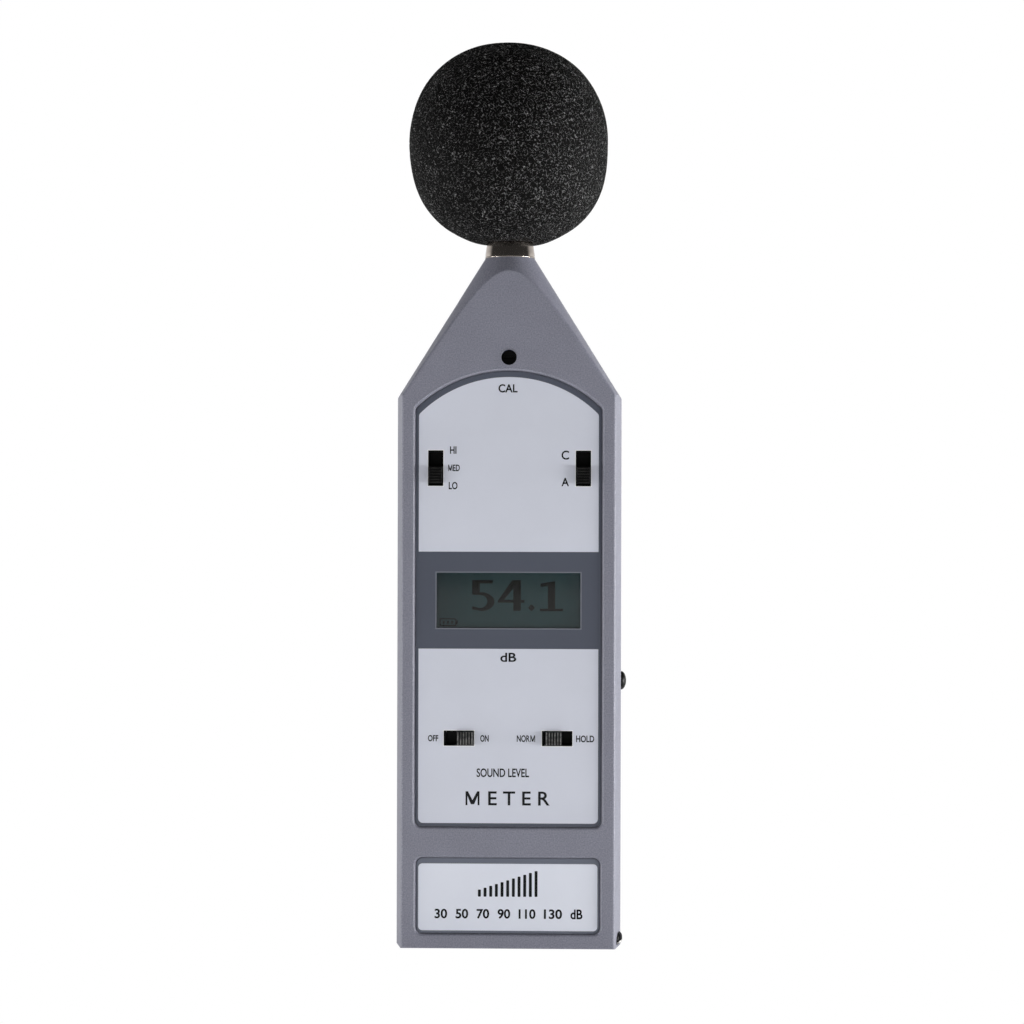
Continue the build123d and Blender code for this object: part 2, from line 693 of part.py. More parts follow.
# ---------------------------------------------------------------- slide switches
switch_bodies = {}
switch_knobs = {}
for name, (x, z, slot_length, along_x, offset) in SWITCHES.items():
    travel = SLIDE_TRAVEL[name]
    middle = offset + travel / 2
    body_x, body_z = (x + middle, z) if along_x else (x, z + middle)
    knob_x, knob_z = (x + offset, z) if along_x else (x, z + offset)

    with BuildPart() as switch_body:
        with BuildSketch(facing_front(BOARD_FRONT_Y)):
            with Locations((body_x, body_z)):
                switch_box(along_x, SWITCH_L, SWITCH_W)
        extrude(amount=BOARD_FRONT_Y - SWITCH_FRONT_Y)
        with BuildSketch(facing_front(SWITCH_POCKET_Y)):
            with Locations((body_x, body_z)):
                switch_box(
                    along_x,
                    KNOB_L + abs(travel) + 2 * SWITCH_POCKET_GAP,
                    KNOB_W + 2 * SWITCH_POCKET_GAP,
                )
        extrude(amount=SWITCH_POCKET_Y - SWITCH_FRONT_Y, mode=Mode.SUBTRACT)
    switch_bodies[name + "_body"] = switch_body

    with BuildPart() as switch_knob:
        with BuildSketch(facing_front(SWITCH_POCKET_Y - SWITCH_POCKET_GAP)):
            with Locations((knob_x, knob_z)):
                switch_box(along_x, KNOB_L, KNOB_W)
        extrude(amount=SWITCH_POCKET_Y - SWITCH_POCKET_GAP - KNOB_FRONT_Y)
        # Grip grooves across the knob's front.
        with BuildSketch(facing_front(KNOB_FRONT_Y)):
            for place in range(-2, 3):
                step = place * KNOB_RIDGE_PITCH
                groove_x, groove_z = (step, 0) if along_x else (0, step)
                with Locations((knob_x + groove_x, knob_z + groove_z)):
                    switch_box(along_x, KNOB_GROOVE_W, 2 * KNOB_W)
        extrude(amount=-KNOB_GROOVE_DEPTH, mode=Mode.SUBTRACT)
    switch_knobs[name + "_knob"] = switch_knob

# ---------------------------------------------------------------- calibration trimmer
with BuildPart() as trimmer_body:
    with BuildSketch(facing_front(BOARD_FRONT_Y)):
        with Locations((0, CAL_Z)):
            Rectangle(TRIMMER_SIDE, TRIMMER_SIDE)
    extrude(amount=BOARD_FRONT_Y - TRIMMER_FRONT_Y)
    with BuildSketch(facing_front(TRIMMER_FRONT_Y)):
        with Locations((0, CAL_Z)):
            Circle(ROTOR_POCKET_R)
    extrude(amount=-ROTOR_DEPTH - FIT, mode=Mode.SUBTRACT)

with BuildPart() as trimmer_rotor:
    with BuildSketch(facing_front(TRIMMER_FRONT_Y)):
        with Locations((0, CAL_Z)):
            Circle(ROTOR_R)
    extrude(amount=-ROTOR_DEPTH)
    with BuildSketch(facing_front(TRIMMER_FRONT_Y)):
        with Locations((0, CAL_Z)):
            Rectangle(ROTOR_SLOT_L, CROSS_W)
    extrude(amount=-CROSS_DEPTH, mode=Mode.SUBTRACT)

# ---------------------------------------------------------------- microphone
with BuildPart() as preamp_tube:
    with BuildSketch(Plane.XY.offset(TUBE_BOTTOM_Z)):
        Circle(TUBE_R)
    extrude(amount=MIC_JOINT_Z - TUBE_BOTTOM_Z)
    with BuildSketch(Plane.XY.offset(NECK_SOLID_Z - TUBE_FLANGE_T - FIT)):
        Circle(TUBE_FLANGE_R)
    extrude(amount=TUBE_FLANGE_T)
    with BuildSketch(Plane.XY.offset(TUBE_BOTTOM_Z)):
        Circle(TUBE_R - TUBE_WALL)
    extrude(amount=MIC_JOINT_Z - TUBE_BOTTOM_Z, mode=Mode.SUBTRACT)

with BuildPart() as neck_collar:
    with BuildSketch(Plane.XZ):
        with BuildLine():
            Polyline(
                (TUBE_R + FIT, NECK_Z),
                (COLLAR_R, NECK_Z),
                (COLLAR_R, NECK_Z + COLLAR_LIP),
                (COLLAR_TOP_R, COLLAR_TOP_Z),
                (TUBE_R + FIT, COLLAR_TOP_Z),
                close=True,
            )
        make_face()
    revolve(axis=Axis.Z)

with BuildPart() as preamp_board:
    with BuildSketch(facing_front(BOARD_BACK_Y + FIT)):
        with Locations((0, (PREAMP_BOTTOM_Z + PREAMP_TOP_Z) / 2)):
            Rectangle(PREAMP_W, PREAMP_TOP_Z - PREAMP_BOTTOM_Z)
    extrude(amount=-PREAMP_T)

with BuildPart() as mic_capsule:
    with BuildSketch(Plane.XY.offset(MIC_JOINT_Z)):
        Circle(TUBE_R)
    extrude(amount=GRID_BOTTOM_Z - MIC_JOINT_Z)
    with BuildSketch(Plane.XY.offset(GRID_BOTTOM_Z)):
        Circle(CAPSULE_RIM_R)
    extrude(amount=CAPSULE_RIM_H)
    with BuildSketch(Plane.XY.offset(MIC_JOINT_Z + TUBE_WALL)):
        Circle(CAPSULE_BORE_R)
    extrude(amount=MIC_TOP_Z - MIC_JOINT_Z, mode=Mode.SUBTRACT)

with BuildPart() as mic_insulator:
    with BuildSketch(Plane.XY.offset(INSULATOR_Z)):
        Circle(CAPSULE_BORE_R - FIT)
    extrude(amount=INSULATOR_T)
    with BuildSketch(Plane.XY.offset(INSULATOR_Z)):
        Circle(CONTACT_R + FIT)
    extrude(amount=INSULATOR_T, mode=Mode.SUBTRACT)

with BuildPart() as mic_backplate:
    with BuildSketch(Plane.XY.offset(INSULATOR_Z + INSULATOR_T)):
        Circle(BACKPLATE_R)
        with PolarLocations(BACKPLATE_R / 2, 6):
            Circle(BACKPLATE_HOLE_R, mode=Mode.SUBTRACT)
    extrude(amount=BACKPLATE_T)
    with BuildSketch(Plane.XY.offset(INSULATOR_Z - CONTACT_TAIL)):
        Circle(CONTACT_R)
    extrude(amount=INSULATOR_T + CONTACT_TAIL)

with BuildPart() as mic_diaphragm:
    with BuildSketch(Plane.XY.offset(GRID_BOTTOM_Z + CAPSULE_RIM_H)):
        Circle(CAPSULE_RIM_R)
    extrude(amount=DIAPHRAGM_T)

with BuildPart() as mic_grid:
    with BuildSketch(Plane.XY.offset(GRID_BOTTOM_Z)):
        Circle(GRID_R)
    extrude(amount=MIC_TOP_Z - GRID_BOTTOM_Z)
    fillet(mic_grid.faces().sort_by(Axis.Z)[-1].edges(), EDGE_R)
    with BuildSketch(Plane.XY.offset(GRID_BOTTOM_Z)):
        Circle(CAPSULE_RIM_R + FIT)
    extrude(amount=MIC_TOP_Z - GRID_BOTTOM_Z - GRID_WALL, mode=Mode.SUBTRACT)
    # Slots through the top, and holes round the side.
    with BuildSketch(Plane.XY.offset(MIC_TOP_Z)):
        with PolarLocations(0, GRID_SLOTS):
            with Locations((GRID_R / 2, 0)):
                SlotOverall(GRID_SLOT_L, GRID_SLOT_W)
    extrude(amount=-2 * GRID_WALL, mode=Mode.SUBTRACT)

# ---------------------------------------------------------------- foam windscreen
with BuildPart() as windscreen:
    with BuildSketch(Plane.XZ):
        with BuildLine():
            heights = [FOAM_BOTTOM_Z + step for step in FOAM_PROFILE_STEPS]
            heights += [FOAM_Z]
            heights += [FOAM_TOP_Z - step for step in reversed(FOAM_PROFILE_STEPS)]
            profile = [(foam_radius(z), z) for z in heights]
            Line((0, FOAM_BOTTOM_Z), (FOAM_FLAT_R, FOAM_BOTTOM_Z))
            Spline((FOAM_FLAT_R, FOAM_BOTTOM_Z), *profile, (0, FOAM_TOP_Z))
            Line((0, FOAM_TOP_Z), (0, FOAM_BOTTOM_Z))
        make_face()
    revolve(axis=Axis.Z)
    with BuildSketch(Plane.XZ):
        with BuildLine():
            Polyline(
                (0, FOAM_BOTTOM_Z),
                (FOAM_MOUTH_R, FOAM_BOTTOM_Z),
                (FOAM_MOUTH_R, FOAM_MOUTH_TOP_Z),
                (FOAM_BORE_R, FOAM_MOUTH_TOP_Z),
                (FOAM_BORE_R, FOAM_BORE_TOP_Z),
                (0, FOAM_BORE_TOP_Z),
                close=True,
            )
        make_face()
    revolve(axis=Axis.Z, mode=Mode.SUBTRACT)

# ---------------------------------------------------------------- battery and its door
with BuildPart() as battery:
    with Locations((0, BATTERY_Y, BATTERY_BOTTOM_Z + BATTERY_SIZE[2] / 2)):
        Box(*BATTERY_SIZE)
    fillet(battery.edges().filter_by(Axis.Z), 2 * EDGE_R)

with BuildPart() as battery_terminals:
    with BuildSketch(Plane.XY.offset(BATTERY_TOP_Z)):
        for side, radius in zip((-1, 1), TERMINAL_R):
            with Locations((side * TERMINAL_X, BATTERY_Y)):
                Circle(radius)
    extrude(amount=TERMINAL_H)

with BuildPart() as battery_snap:
    with Locations((0, BATTERY_Y, BATTERY_TOP_Z + FIT + SNAP_SIZE[2] / 2)):
        Box(*SNAP_SIZE)
    with BuildSketch(Plane.XY.offset(BATTERY_TOP_Z)):
        for side, radius in zip((-1, 1), TERMINAL_R):
            with Locations((side * TERMINAL_X, BATTERY_Y)):
                Circle(radius + FIT)
    extrude(amount=TERMINAL_H + FIT, mode=Mode.SUBTRACT)

with BuildPart() as battery_leads:
    for side in (-1, 1):
        with BuildLine() as lead_path:
            FilletPolyline(
                (side * LEAD_X, LEAD_Y, BATTERY_TOP_Z + FIT + SNAP_SIZE[2]),
                (side * LEAD_X, LEAD_Y, LEAD_END_Z),
                (side * LEAD_X, BOARD_BACK_Y, LEAD_END_Z),
                radius=0.45 * LEAD_Y,
            )
        with BuildSketch(Plane.XY.offset(BATTERY_TOP_Z + FIT + SNAP_SIZE[2])):
            with Locations((side * LEAD_X, LEAD_Y)):
                Circle(LEAD_R)
        sweep(path=lead_path.wires()[0])

with BuildPart() as battery_pad:
    pad_y = DOOR_IN_Y - PAD_GAP - PAD_SIZE[1] / 2
    with Locations((0, pad_y, BATTERY_BOTTOM_Z + BATTERY_SIZE[2] / 2)):
        Box(*PAD_SIZE)

with BuildPart() as battery_door:
    with BuildSketch(facing_front(BACK_Y)):
        with Locations((0, DOOR_TOP_Z / 2)):
            Rectangle(2 * DOOR_HALF_W, DOOR_TOP_Z)
    extrude(amount=DOOR_T)
    foot_edges = battery_door.edges().filter_by(Axis.X).group_by(Axis.Z)[0]
    fillet(foot_edges.sort_by(Axis.Y)[-1], 2 * EDGE_R)
    with BuildSketch(facing_front(DOOR_IN_Y + DOOR_TONGUE_T)):
        with Locations((0, DOOR_TOP_Z / 2)):
            Rectangle(2 * (DOOR_HALF_W + DOOR_TONGUE), DOOR_TOP_Z)
    extrude(amount=DOOR_TONGUE_T)
    # Finger grooves near the top of the door.
    with BuildSketch(facing_front(BACK_Y)):
        with Locations((0, DOOR_TOP_Z - (DOOR_RIB_COUNT - 1) * DOOR_RIB_PITCH)):
            with GridLocations(1, DOOR_RIB_PITCH, 1, DOOR_RIB_COUNT):
                SlotOverall(DOOR_HALF_W, DOOR_RIB_PITCH / 2)
    extrude(amount=DOOR_T / 4, mode=Mode.SUBTRACT)

# ---------------------------------------------------------------- side button
with BuildPart() as reset_button:
    with BuildSketch(Plane.XZ.offset(-BUTTON_Y)):
        with BuildLine():
            Line((BUTTON_FLANGE_X - BUTTON_FLANGE_T, BUTTON_Z), (BUTTON_TIP_X, BUTTON_Z))
            EllipticalCenterArc(
                (BUTTON_RIM_X, BUTTON_Z), BUTTON_TIP_X - BUTTON_RIM_X, BUTTON_R, start_angle=0, arc_size=90
            )
            Polyline(
                (BUTTON_RIM_X, BUTTON_Z + BUTTON_R),
                (BUTTON_FLANGE_X, BUTTON_Z + BUTTON_R),
                (BUTTON_FLANGE_X, BUTTON_Z + BUTTON_FLANGE_R),
                (BUTTON_FLANGE_X - BUTTON_FLANGE_T, BUTTON_Z + BUTTON_FLANGE_R),
                (BUTTON_FLANGE_X - BUTTON_FLANGE_T, BUTTON_Z),
            )
        make_face()
    revolve(axis=Axis((0, BUTTON_Y, BUTTON_Z), (1, 0, 0)))

with BuildPart() as reset_plunger:
    with BuildSketch(Plane.YZ.offset(PLUNGER_IN_X)):
        with Locations((BUTTON_Y, BUTTON_Z)):
            Circle(PLUNGER_R)
    extrude(amount=BUTTON_FLANGE_X - BUTTON_FLANGE_T - PLUNGER_IN_X)

with BuildPart() as reset_switch:
    with BuildSketch(facing_front(BOARD_BACK_Y)):
        with Locations(((RESET_SWITCH_X[0] + RESET_SWITCH_X[1]) / 2, BUTTON_Z)):
            Rectangle(RESET_SWITCH_X[1] - RESET_SWITCH_X[0], RESET_SWITCH_H)
    extrude(amount=-RESET_SWITCH_TOP_Y)
    with BuildSketch(Plane.YZ.offset(RESET_POCKET_X)):
        with Locations((BUTTON_Y, BUTTON_Z)):
            Circle(PLUNGER_R + 2 * FIT)
    extrude(amount=RESET_SWITCH_X[1] - RESET_POCKET_X, mode=Mode.SUBTRACT)

# ---------------------------------------------------------------- strap loop, tripod insert, screws
with BuildPart() as strap_loop:
    add(strap_wire(LOOP_WIRE_R))

with BuildPart() as tripod_insert:
    with BuildSketch(facing_front(BACK_Y)):
        with Locations((0, TRIPOD_Z)):
            Circle(TRIPOD_INSERT_R)
            Circle(TRIPOD_R, mode=Mode.SUBTRACT)
    extrude(amount=TRIPOD_DEPTH)

with BuildPart() as case_screws:
    with BuildSketch(facing_front(CASE_SEAT_Y)):
        with Locations(*CASE_SCREWS):
            Circle(CASE_SHANK_R)
    extrude(amount=CASE_SEAT_Y - CASE_TIP_Y)
    with BuildSketch(facing_front(CASE_SEAT_Y)):
        with Locations(*CASE_SCREWS):
            Circle(CASE_HEAD_R)
    extrude(amount=-CASE_HEAD_H)
    with BuildSketch(facing_front(CASE_SEAT_Y + CASE_HEAD_H)):
        with Locations(*CASE_SCREWS):
            Rectangle(CROSS_L, CROSS_W)
            Rectangle(CROSS_W, CROSS_L)
    extrude(amount=CROSS_DEPTH, mode=Mode.SUBTRACT)

# ---------------------------------------------------------------- labels and files
pieces = {
    "front_shell": front_shell,
    "rear_shell": rear_shell,
    "front_overlay": front_overlay,
    "name_plate": name_plate,
    "display_window": display_window,
    "rating_label": rating_label,
    "lcd_glass": lcd_glass,
    "lcd_frame": lcd_frame,
    "zebra_strips": zebra_strips,
    "main_board": main_board,
    "board_screws": board_screws,
    "integrated_circuits": integrated_circuits,
    "capacitors": capacitors,
    "resistors": resistors,
    "trimmer_body": trimmer_body,
    "trimmer_rotor": trimmer_rotor,
    "preamp_tube": preamp_tube,
    "neck_collar": neck_collar,
    "preamp_board": preamp_board,
    "mic_capsule": mic_capsule,
    "mic_insulator": mic_insulator,
    "mic_backplate": mic_backplate,
    "mic_diaphragm": mic_diaphragm,
    "mic_grid": mic_grid,
    "windscreen": windscreen,
    "battery": battery,
    "battery_terminals": battery_terminals,
    "battery_snap": battery_snap,
    "battery_leads": battery_leads,
    "battery_pad": battery_pad,
    "battery_door": battery_door,
    "reset_button": reset_button,
    "reset_plunger": reset_plunger,
    "reset_switch": reset_switch,
    "strap_loop": strap_loop,
    "tripod_insert": tripod_insert,
    "case_screws": case_screws,
}
pieces.update(switch_bodies)
pieces.update(switch_knobs)

os.makedirs("parts", exist_ok=True)
for name, piece in pieces.items():
    piece.part.label = name
    export_step(piece.part, "parts/" + name + ".step")
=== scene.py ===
import json
from math import atan2, cos, degrees, hypot, pi, radians, sin

import bmesh
import bpy
from mathutils import Euler, Matrix, Vector, noise


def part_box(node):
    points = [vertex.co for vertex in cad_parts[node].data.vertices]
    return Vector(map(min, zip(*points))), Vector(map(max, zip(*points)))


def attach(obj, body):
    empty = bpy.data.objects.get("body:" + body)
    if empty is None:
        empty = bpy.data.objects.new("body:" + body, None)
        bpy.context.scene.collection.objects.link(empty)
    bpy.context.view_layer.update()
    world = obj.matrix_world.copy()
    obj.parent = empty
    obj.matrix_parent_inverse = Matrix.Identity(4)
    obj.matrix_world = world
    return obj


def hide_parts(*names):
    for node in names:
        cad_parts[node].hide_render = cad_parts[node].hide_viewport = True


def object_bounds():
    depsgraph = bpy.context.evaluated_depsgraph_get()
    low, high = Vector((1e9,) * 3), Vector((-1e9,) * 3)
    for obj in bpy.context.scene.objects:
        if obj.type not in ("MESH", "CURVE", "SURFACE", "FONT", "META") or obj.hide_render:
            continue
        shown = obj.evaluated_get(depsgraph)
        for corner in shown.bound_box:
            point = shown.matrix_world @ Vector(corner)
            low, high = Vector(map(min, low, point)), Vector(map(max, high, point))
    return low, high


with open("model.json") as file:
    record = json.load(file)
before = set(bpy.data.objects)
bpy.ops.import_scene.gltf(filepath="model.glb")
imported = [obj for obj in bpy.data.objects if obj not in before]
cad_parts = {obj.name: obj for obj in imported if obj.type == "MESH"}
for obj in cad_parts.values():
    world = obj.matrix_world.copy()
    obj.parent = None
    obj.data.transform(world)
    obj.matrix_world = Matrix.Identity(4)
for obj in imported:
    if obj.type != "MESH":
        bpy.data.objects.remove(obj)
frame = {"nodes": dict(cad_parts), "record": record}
cad_low, cad_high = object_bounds()

MM = 0.001
METER = "meter"
WHITE = (1, 1, 1, 1)


# ---------------------------------------------------------------- camera, light and floor
CAMERA_AZIMUTH = 1.35
CAMERA_DISTANCE = 790 * MM
CAMERA_HEIGHT = 134.9 * MM
CAMERA_AIM_X = 1.05 * MM
CAMERA_LENS = 90
CAMERA_SENSOR = 36
CAMERA_ROLL = -0.15
CAMERA_NEAR = 0.01
CAMERA_FAR = 50
LIGHT_AIM = Vector((0, 0, 0.1))
SURROUND_PALE = 0.9
SURROUND_DARK = 0.04
SURROUND_SPANS = (("Y", 0.0, 0.45), ("Z", 0.5, 0.08))  # part of a direction, where it is dark, where pale
FLOOR_GLOW = 0.38
FLOOR_SIZE = 4.0
FLOOR_CELLS = 40
FLOOR_DROP = 0.05 * MM


def add_camera():
    front_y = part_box("front_shell")[0].y
    aim = Vector((CAMERA_AIM_X, front_y, CAMERA_HEIGHT))
    turn = radians(CAMERA_AZIMUTH)
    data = bpy.data.cameras.new("camera")
    data.lens = CAMERA_LENS
    data.sensor_width = CAMERA_SENSOR
    data.clip_start = CAMERA_NEAR
    data.clip_end = CAMERA_FAR
    camera = bpy.data.objects.new("camera", data)
    bpy.context.scene.collection.objects.link(camera)
    camera.location = aim + CAMERA_DISTANCE * Vector((sin(turn), -cos(turn), 0))
    camera.rotation_euler = Euler((pi / 2, radians(CAMERA_ROLL), turn), "XYZ")
    bpy.context.scene.camera = camera


def add_light(name, place, width, height, power, glossy=True):
    """A softbox aimed at the meter's body; without glossy, nothing mirrors it."""
    data = bpy.data.lights.new(name, "AREA")
    data.shape = "RECTANGLE"
    data.size = width
    data.size_y = height
    data.energy = power
    light = bpy.data.objects.new(name, data)
    bpy.context.scene.collection.objects.link(light)
    light.location = place
    light.rotation_euler = (LIGHT_AIM - light.location).to_track_quat("-Z", "Y").to_euler()
    light.visible_camera = False
    light.visible_glossy = glossy


def white_to_lens(tree, lit, white, surface):
    """Gives a surface the white shader as the lens sees it, and the lit one for light and reflections."""
    rays = tree.nodes.new("ShaderNodeLightPath")
    mix = tree.nodes.new("ShaderNodeMixShader")
    tree.links.new(rays.outputs["Is Camera Ray"], mix.inputs["Fac"])
    tree.links.new(lit, mix.inputs[1])
    tree.links.new(white, mix.inputs[2])
    tree.links.new(mix.outputs["Shader"], surface)


def add_surround():
    """A white backdrop to the lens.

    For light and reflections it is pale low behind the meter, and dark in front and above."""
    world = bpy.data.worlds.new("studio")
    bpy.context.scene.world = world
    world.use_nodes = True
    tree = world.node_tree
    tree.nodes.clear()
    place = tree.nodes.new("ShaderNodeTexCoord")
    split = tree.nodes.new("ShaderNodeSeparateXYZ")
    tree.links.new(place.outputs["Generated"], split.inputs["Vector"])
    both = tree.nodes.new("ShaderNodeMath")
    both.operation = "MULTIPLY"
    for factor, (axis, dark, pale) in zip(both.inputs, SURROUND_SPANS):
        span = tree.nodes.new("ShaderNodeMapRange")
        span.interpolation_type = "SMOOTHSTEP"
        span.inputs["From Min"].default_value = dark
        span.inputs["From Max"].default_value = pale
        tree.links.new(split.outputs[axis], span.inputs["Value"])
        tree.links.new(span.outputs["Result"], factor)
    strength = tree.nodes.new("ShaderNodeMapRange")
    strength.inputs["To Min"].default_value = SURROUND_DARK
    strength.inputs["To Max"].default_value = SURROUND_PALE
    tree.links.new(both.outputs["Value"], strength.inputs["Value"])
    surround = tree.nodes.new("ShaderNodeBackground")
    surround.inputs["Color"].default_value = WHITE
    tree.links.new(strength.outputs["Result"], surround.inputs["Strength"])
    backdrop = tree.nodes.new("ShaderNodeBackground")
    backdrop.inputs["Color"].default_value = WHITE
    output = tree.nodes.new("ShaderNodeOutputWorld")
    lit, white = surround.outputs["Background"], backdrop.outputs["Background"]
    white_to_lens(tree, lit, white, output.inputs["Surface"])


def add_studio():
    """Softboxes low on both sides, a strip near the floor in front and a small light overhead."""
    add_light("key_softbox", (0.85, -0.1, 0.05), 0.7, 0.1, 8.0)
    add_light("fill_softbox", (-0.8, -0.2, 0.05), 0.7, 0.1, 3.2)
    add_light("front_strip", (0.05, -0.5, 0.03), 0.8, 0.06, 0.3, glossy=False)
    add_light("top_softbox", (0.0, 0.0, 1.0), 0.12, 0.12, 3.0, glossy=False)
    add_surround()
    bpy.context.scene.view_settings.view_transform = "Standard"


# ---------------------------------------------------------------- materials
HOUSING = (0.300, 0.304, 0.372)
PANEL = (0.090, 0.101, 0.135)
PLATE = (0.15, 0.165, 0.21)
FIELD = (0.74, 0.765, 0.86)
NAME_FIELD = (0.86, 0.89, 0.99)
INK = (0.012, 0.012, 0.014)
BLACK = (0.004, 0.004, 0.004)
SEGMENTS = (0.011, 0.009, 0.007)
COPPER_TRACK = (0.045, 0.22, 0.09)
SOLDER_RESIST = (0.012, 0.085, 0.035)
SOLDER = (0.45, 0.45, 0.43)
BATTERY_BODY = (0.020, 0.022, 0.026)
BATTERY_LINE = (0.62, 0.62, 0.60)
CAPACITOR_BANDS = ((0.42, 0.58, (0.55, 0.58, 0.62)),)  # start, end and colour of each
RESISTOR_BANDS = (
    (0.15, 0.24, (0.25, 0.05, 0.02)),
    (0.34, 0.43, (0.02, 0.02, 0.02)),
    (0.53, 0.62, (0.5, 0.18, 0.02)),
    (0.8, 0.88, (0.45, 0.33, 0.08)),
)
# The curls are painted highlights on the foam's struts.
FOAM_CURLS = ((0.95 * MM, 0.0, 0.08), (0.78 * MM, 0.31, 0.085))  # size, shift and width of each layer
# The painted highlight on the knobs' ribs fades out over this depth below their tops.
RIDGE_DEPTH = 0.45 * MM  # of the knobs' grooves, by which their ribs are painted


class Paint:
    """A material under construction: its nodes, links and principled shader."""

    def __init__(self, name, roughness=0.5, metallic=0.0, **sockets):
        self.material = bpy.data.materials.new(name)
        self.material.use_nodes = True
        self.nodes = self.material.node_tree.nodes
        self.links = self.material.node_tree.links
        self.shader = self.nodes["Principled BSDF"]
        self.shader.inputs["Roughness"].default_value = roughness
        self.shader.inputs["Metallic"].default_value = metallic
        for socket, value in sockets.items():
            self.shader.inputs[socket.replace("_", " ")].default_value = value
        place = self.nodes.new("ShaderNodeTexCoord")
        self.place = place.outputs["Object"]

    def noise(self, size, detail=2.0, stretch=None, shift=0.0):
        """Noise whose features are about size metres across; shift in metres takes it from elsewhere."""
        node = self.nodes.new("ShaderNodeTexNoise")
        node.inputs["Scale"].default_value = 1 / size
        node.inputs["Detail"].default_value = detail
        self.links.new(self.stretched(stretch, shift), node.inputs["Vector"])
        return node.outputs["Fac"]

    def stretched(self, stretch, shift=0.0):
        """The place in the object, scaled by a factor for each axis and moved by shift metres."""
        if stretch is None and shift == 0:
            return self.place
        node = self.nodes.new("ShaderNodeMapping")
        node.inputs["Scale"].default_value = stretch or (1, 1, 1)
        node.inputs["Location"].default_value = (shift, shift, shift)
        self.links.new(self.place, node.inputs["Vector"])
        return node.outputs["Vector"]

    def cells(self, size, feature="F1", stretch=None, randomness=1.0):
        """Voronoi cells about size metres across."""
        node = self.nodes.new("ShaderNodeTexVoronoi")
        node.feature = feature
        node.inputs["Scale"].default_value = 1 / size
        node.inputs["Randomness"].default_value = randomness
        self.links.new(self.stretched(stretch), node.inputs["Vector"])
        return node.outputs["Distance"]

    def ramp(self, value, *stops):
        """Colours (position, (r, g, b)) along a value."""
        node = self.nodes.new("ShaderNodeValToRGB")
        points = node.color_ramp.elements
        while len(points) < len(stops):
            points.new(0.5)
        for point, (position, colour) in zip(points, stops):
            point.position = position
            point.color = (*colour, 1)
        self.links.new(value, node.inputs["Fac"])
        return node.outputs["Color"]

    def axis(self, name):
        """One coordinate of the place in the object, in metres."""
        node = self.nodes.new("ShaderNodeSeparateXYZ")
        self.links.new(self.place, node.inputs["Vector"])
        return node.outputs[name]

    def maths(self, operation, first, second=0.0, clamp=False):
        """Arithmetic on one or two values, each a number or a node's output."""
        node = self.nodes.new("ShaderNodeMath")
        node.operation = operation
        node.use_clamp = clamp
        for socket, value in zip(node.inputs, (first, second)):
            if isinstance(value, (int, float)):
                socket.default_value = value
            else:
                self.links.new(value, socket)
        return node.outputs[0]

    def span(self, value, zero, one):
        """A smooth rise from 0 to 1 as the value goes from zero to one."""
        node = self.nodes.new("ShaderNodeMapRange")
        node.interpolation_type = "SMOOTHSTEP"
        node.inputs["From Min"].default_value = zero
        node.inputs["From Max"].default_value = one
        self.links.new(value, node.inputs["Value"])
        return node.outputs["Result"]

    def mix(self, amount, first, second, mode="MIX"):
        """Two colours blended by an amount from 0 to 1."""
        node = self.nodes.new("ShaderNodeMix")
        node.data_type = "RGBA"
        node.blend_type = mode
        colours = [socket for socket in node.inputs if socket.type == "RGBA"]
        for socket, value in zip((node.inputs[0], *colours), (amount, first, second)):
            if isinstance(value, tuple):
                socket.default_value = (*value, 1)
            elif isinstance(value, (int, float)):
                socket.default_value = value
            else:
                self.links.new(value, socket)
        return next(socket for socket in node.outputs if socket.type == "RGBA")

    def colour(self, value):
        if isinstance(value, tuple):
            self.shader.inputs["Base Color"].default_value = (*value, 1)
        else:
            self.links.new(value, self.shader.inputs["Base Color"])

    def rough(self, value, low, high):
        """Roughness between low and high by a value from 0 to 1."""
        node = self.nodes.new("ShaderNodeMapRange")
        node.inputs["To Min"].default_value = low
        node.inputs["To Max"].default_value = high
        self.links.new(value, node.inputs["Value"])
        self.links.new(node.outputs["Result"], self.shader.inputs["Roughness"])

    def bump(self, value, depth):
        """Relief of the given depth in metres."""
        node = self.nodes.new("ShaderNodeBump")
        node.inputs["Distance"].default_value = depth
        self.links.new(value, node.inputs["Height"])
        self.links.new(node.outputs["Normal"], self.shader.inputs["Normal"])


def grey(tone):
    return (tone,) * 3


def shade(colour, factor):
    return tuple(min(1.0, part * factor) for part in colour)


def moulded(name, colour, roughness, grain, depth, mottle=0.05, gloss=0.5):
    """Moulded plastic: a fine spark-eroded grain, faint mottling and uneven gloss."""
    paint = Paint(name, roughness, Specular_IOR_Level=gloss)
    blotches = paint.noise(7 * MM, detail=4)
    grains = paint.noise(grain)
    tone = paint.ramp(blotches, (0.3, shade(colour, 0.97)), (0.7, shade(colour, 1.03)))
    speck = paint.ramp(grains, (0.3, grey(1 - 2 * mottle)), (0.7, grey(1.0)))
    paint.colour(paint.mix(1.0, tone, speck, "MULTIPLY"))
    paint.rough(blotches, roughness - 0.05, roughness + 0.05)
    paint.bump(grains, depth)
    return paint.material


def printed(name, colour, roughness, gloss=0.5):
    """Screen-printed plastic film: even colour, very fine orange peel, faint scuffs."""
    paint = Paint(name, roughness, Specular_IOR_Level=gloss)
    cloud = paint.noise(22 * MM, detail=3)
    peel = paint.noise(0.35 * MM, detail=1)
    paint.colour(paint.ramp(cloud, (0.25, shade(colour, 0.97)), (0.75, shade(colour, 1.02))))
    paint.rough(cloud, roughness - 0.05, roughness + 0.06)
    paint.bump(peel, 0.004 * MM)
    return paint.material


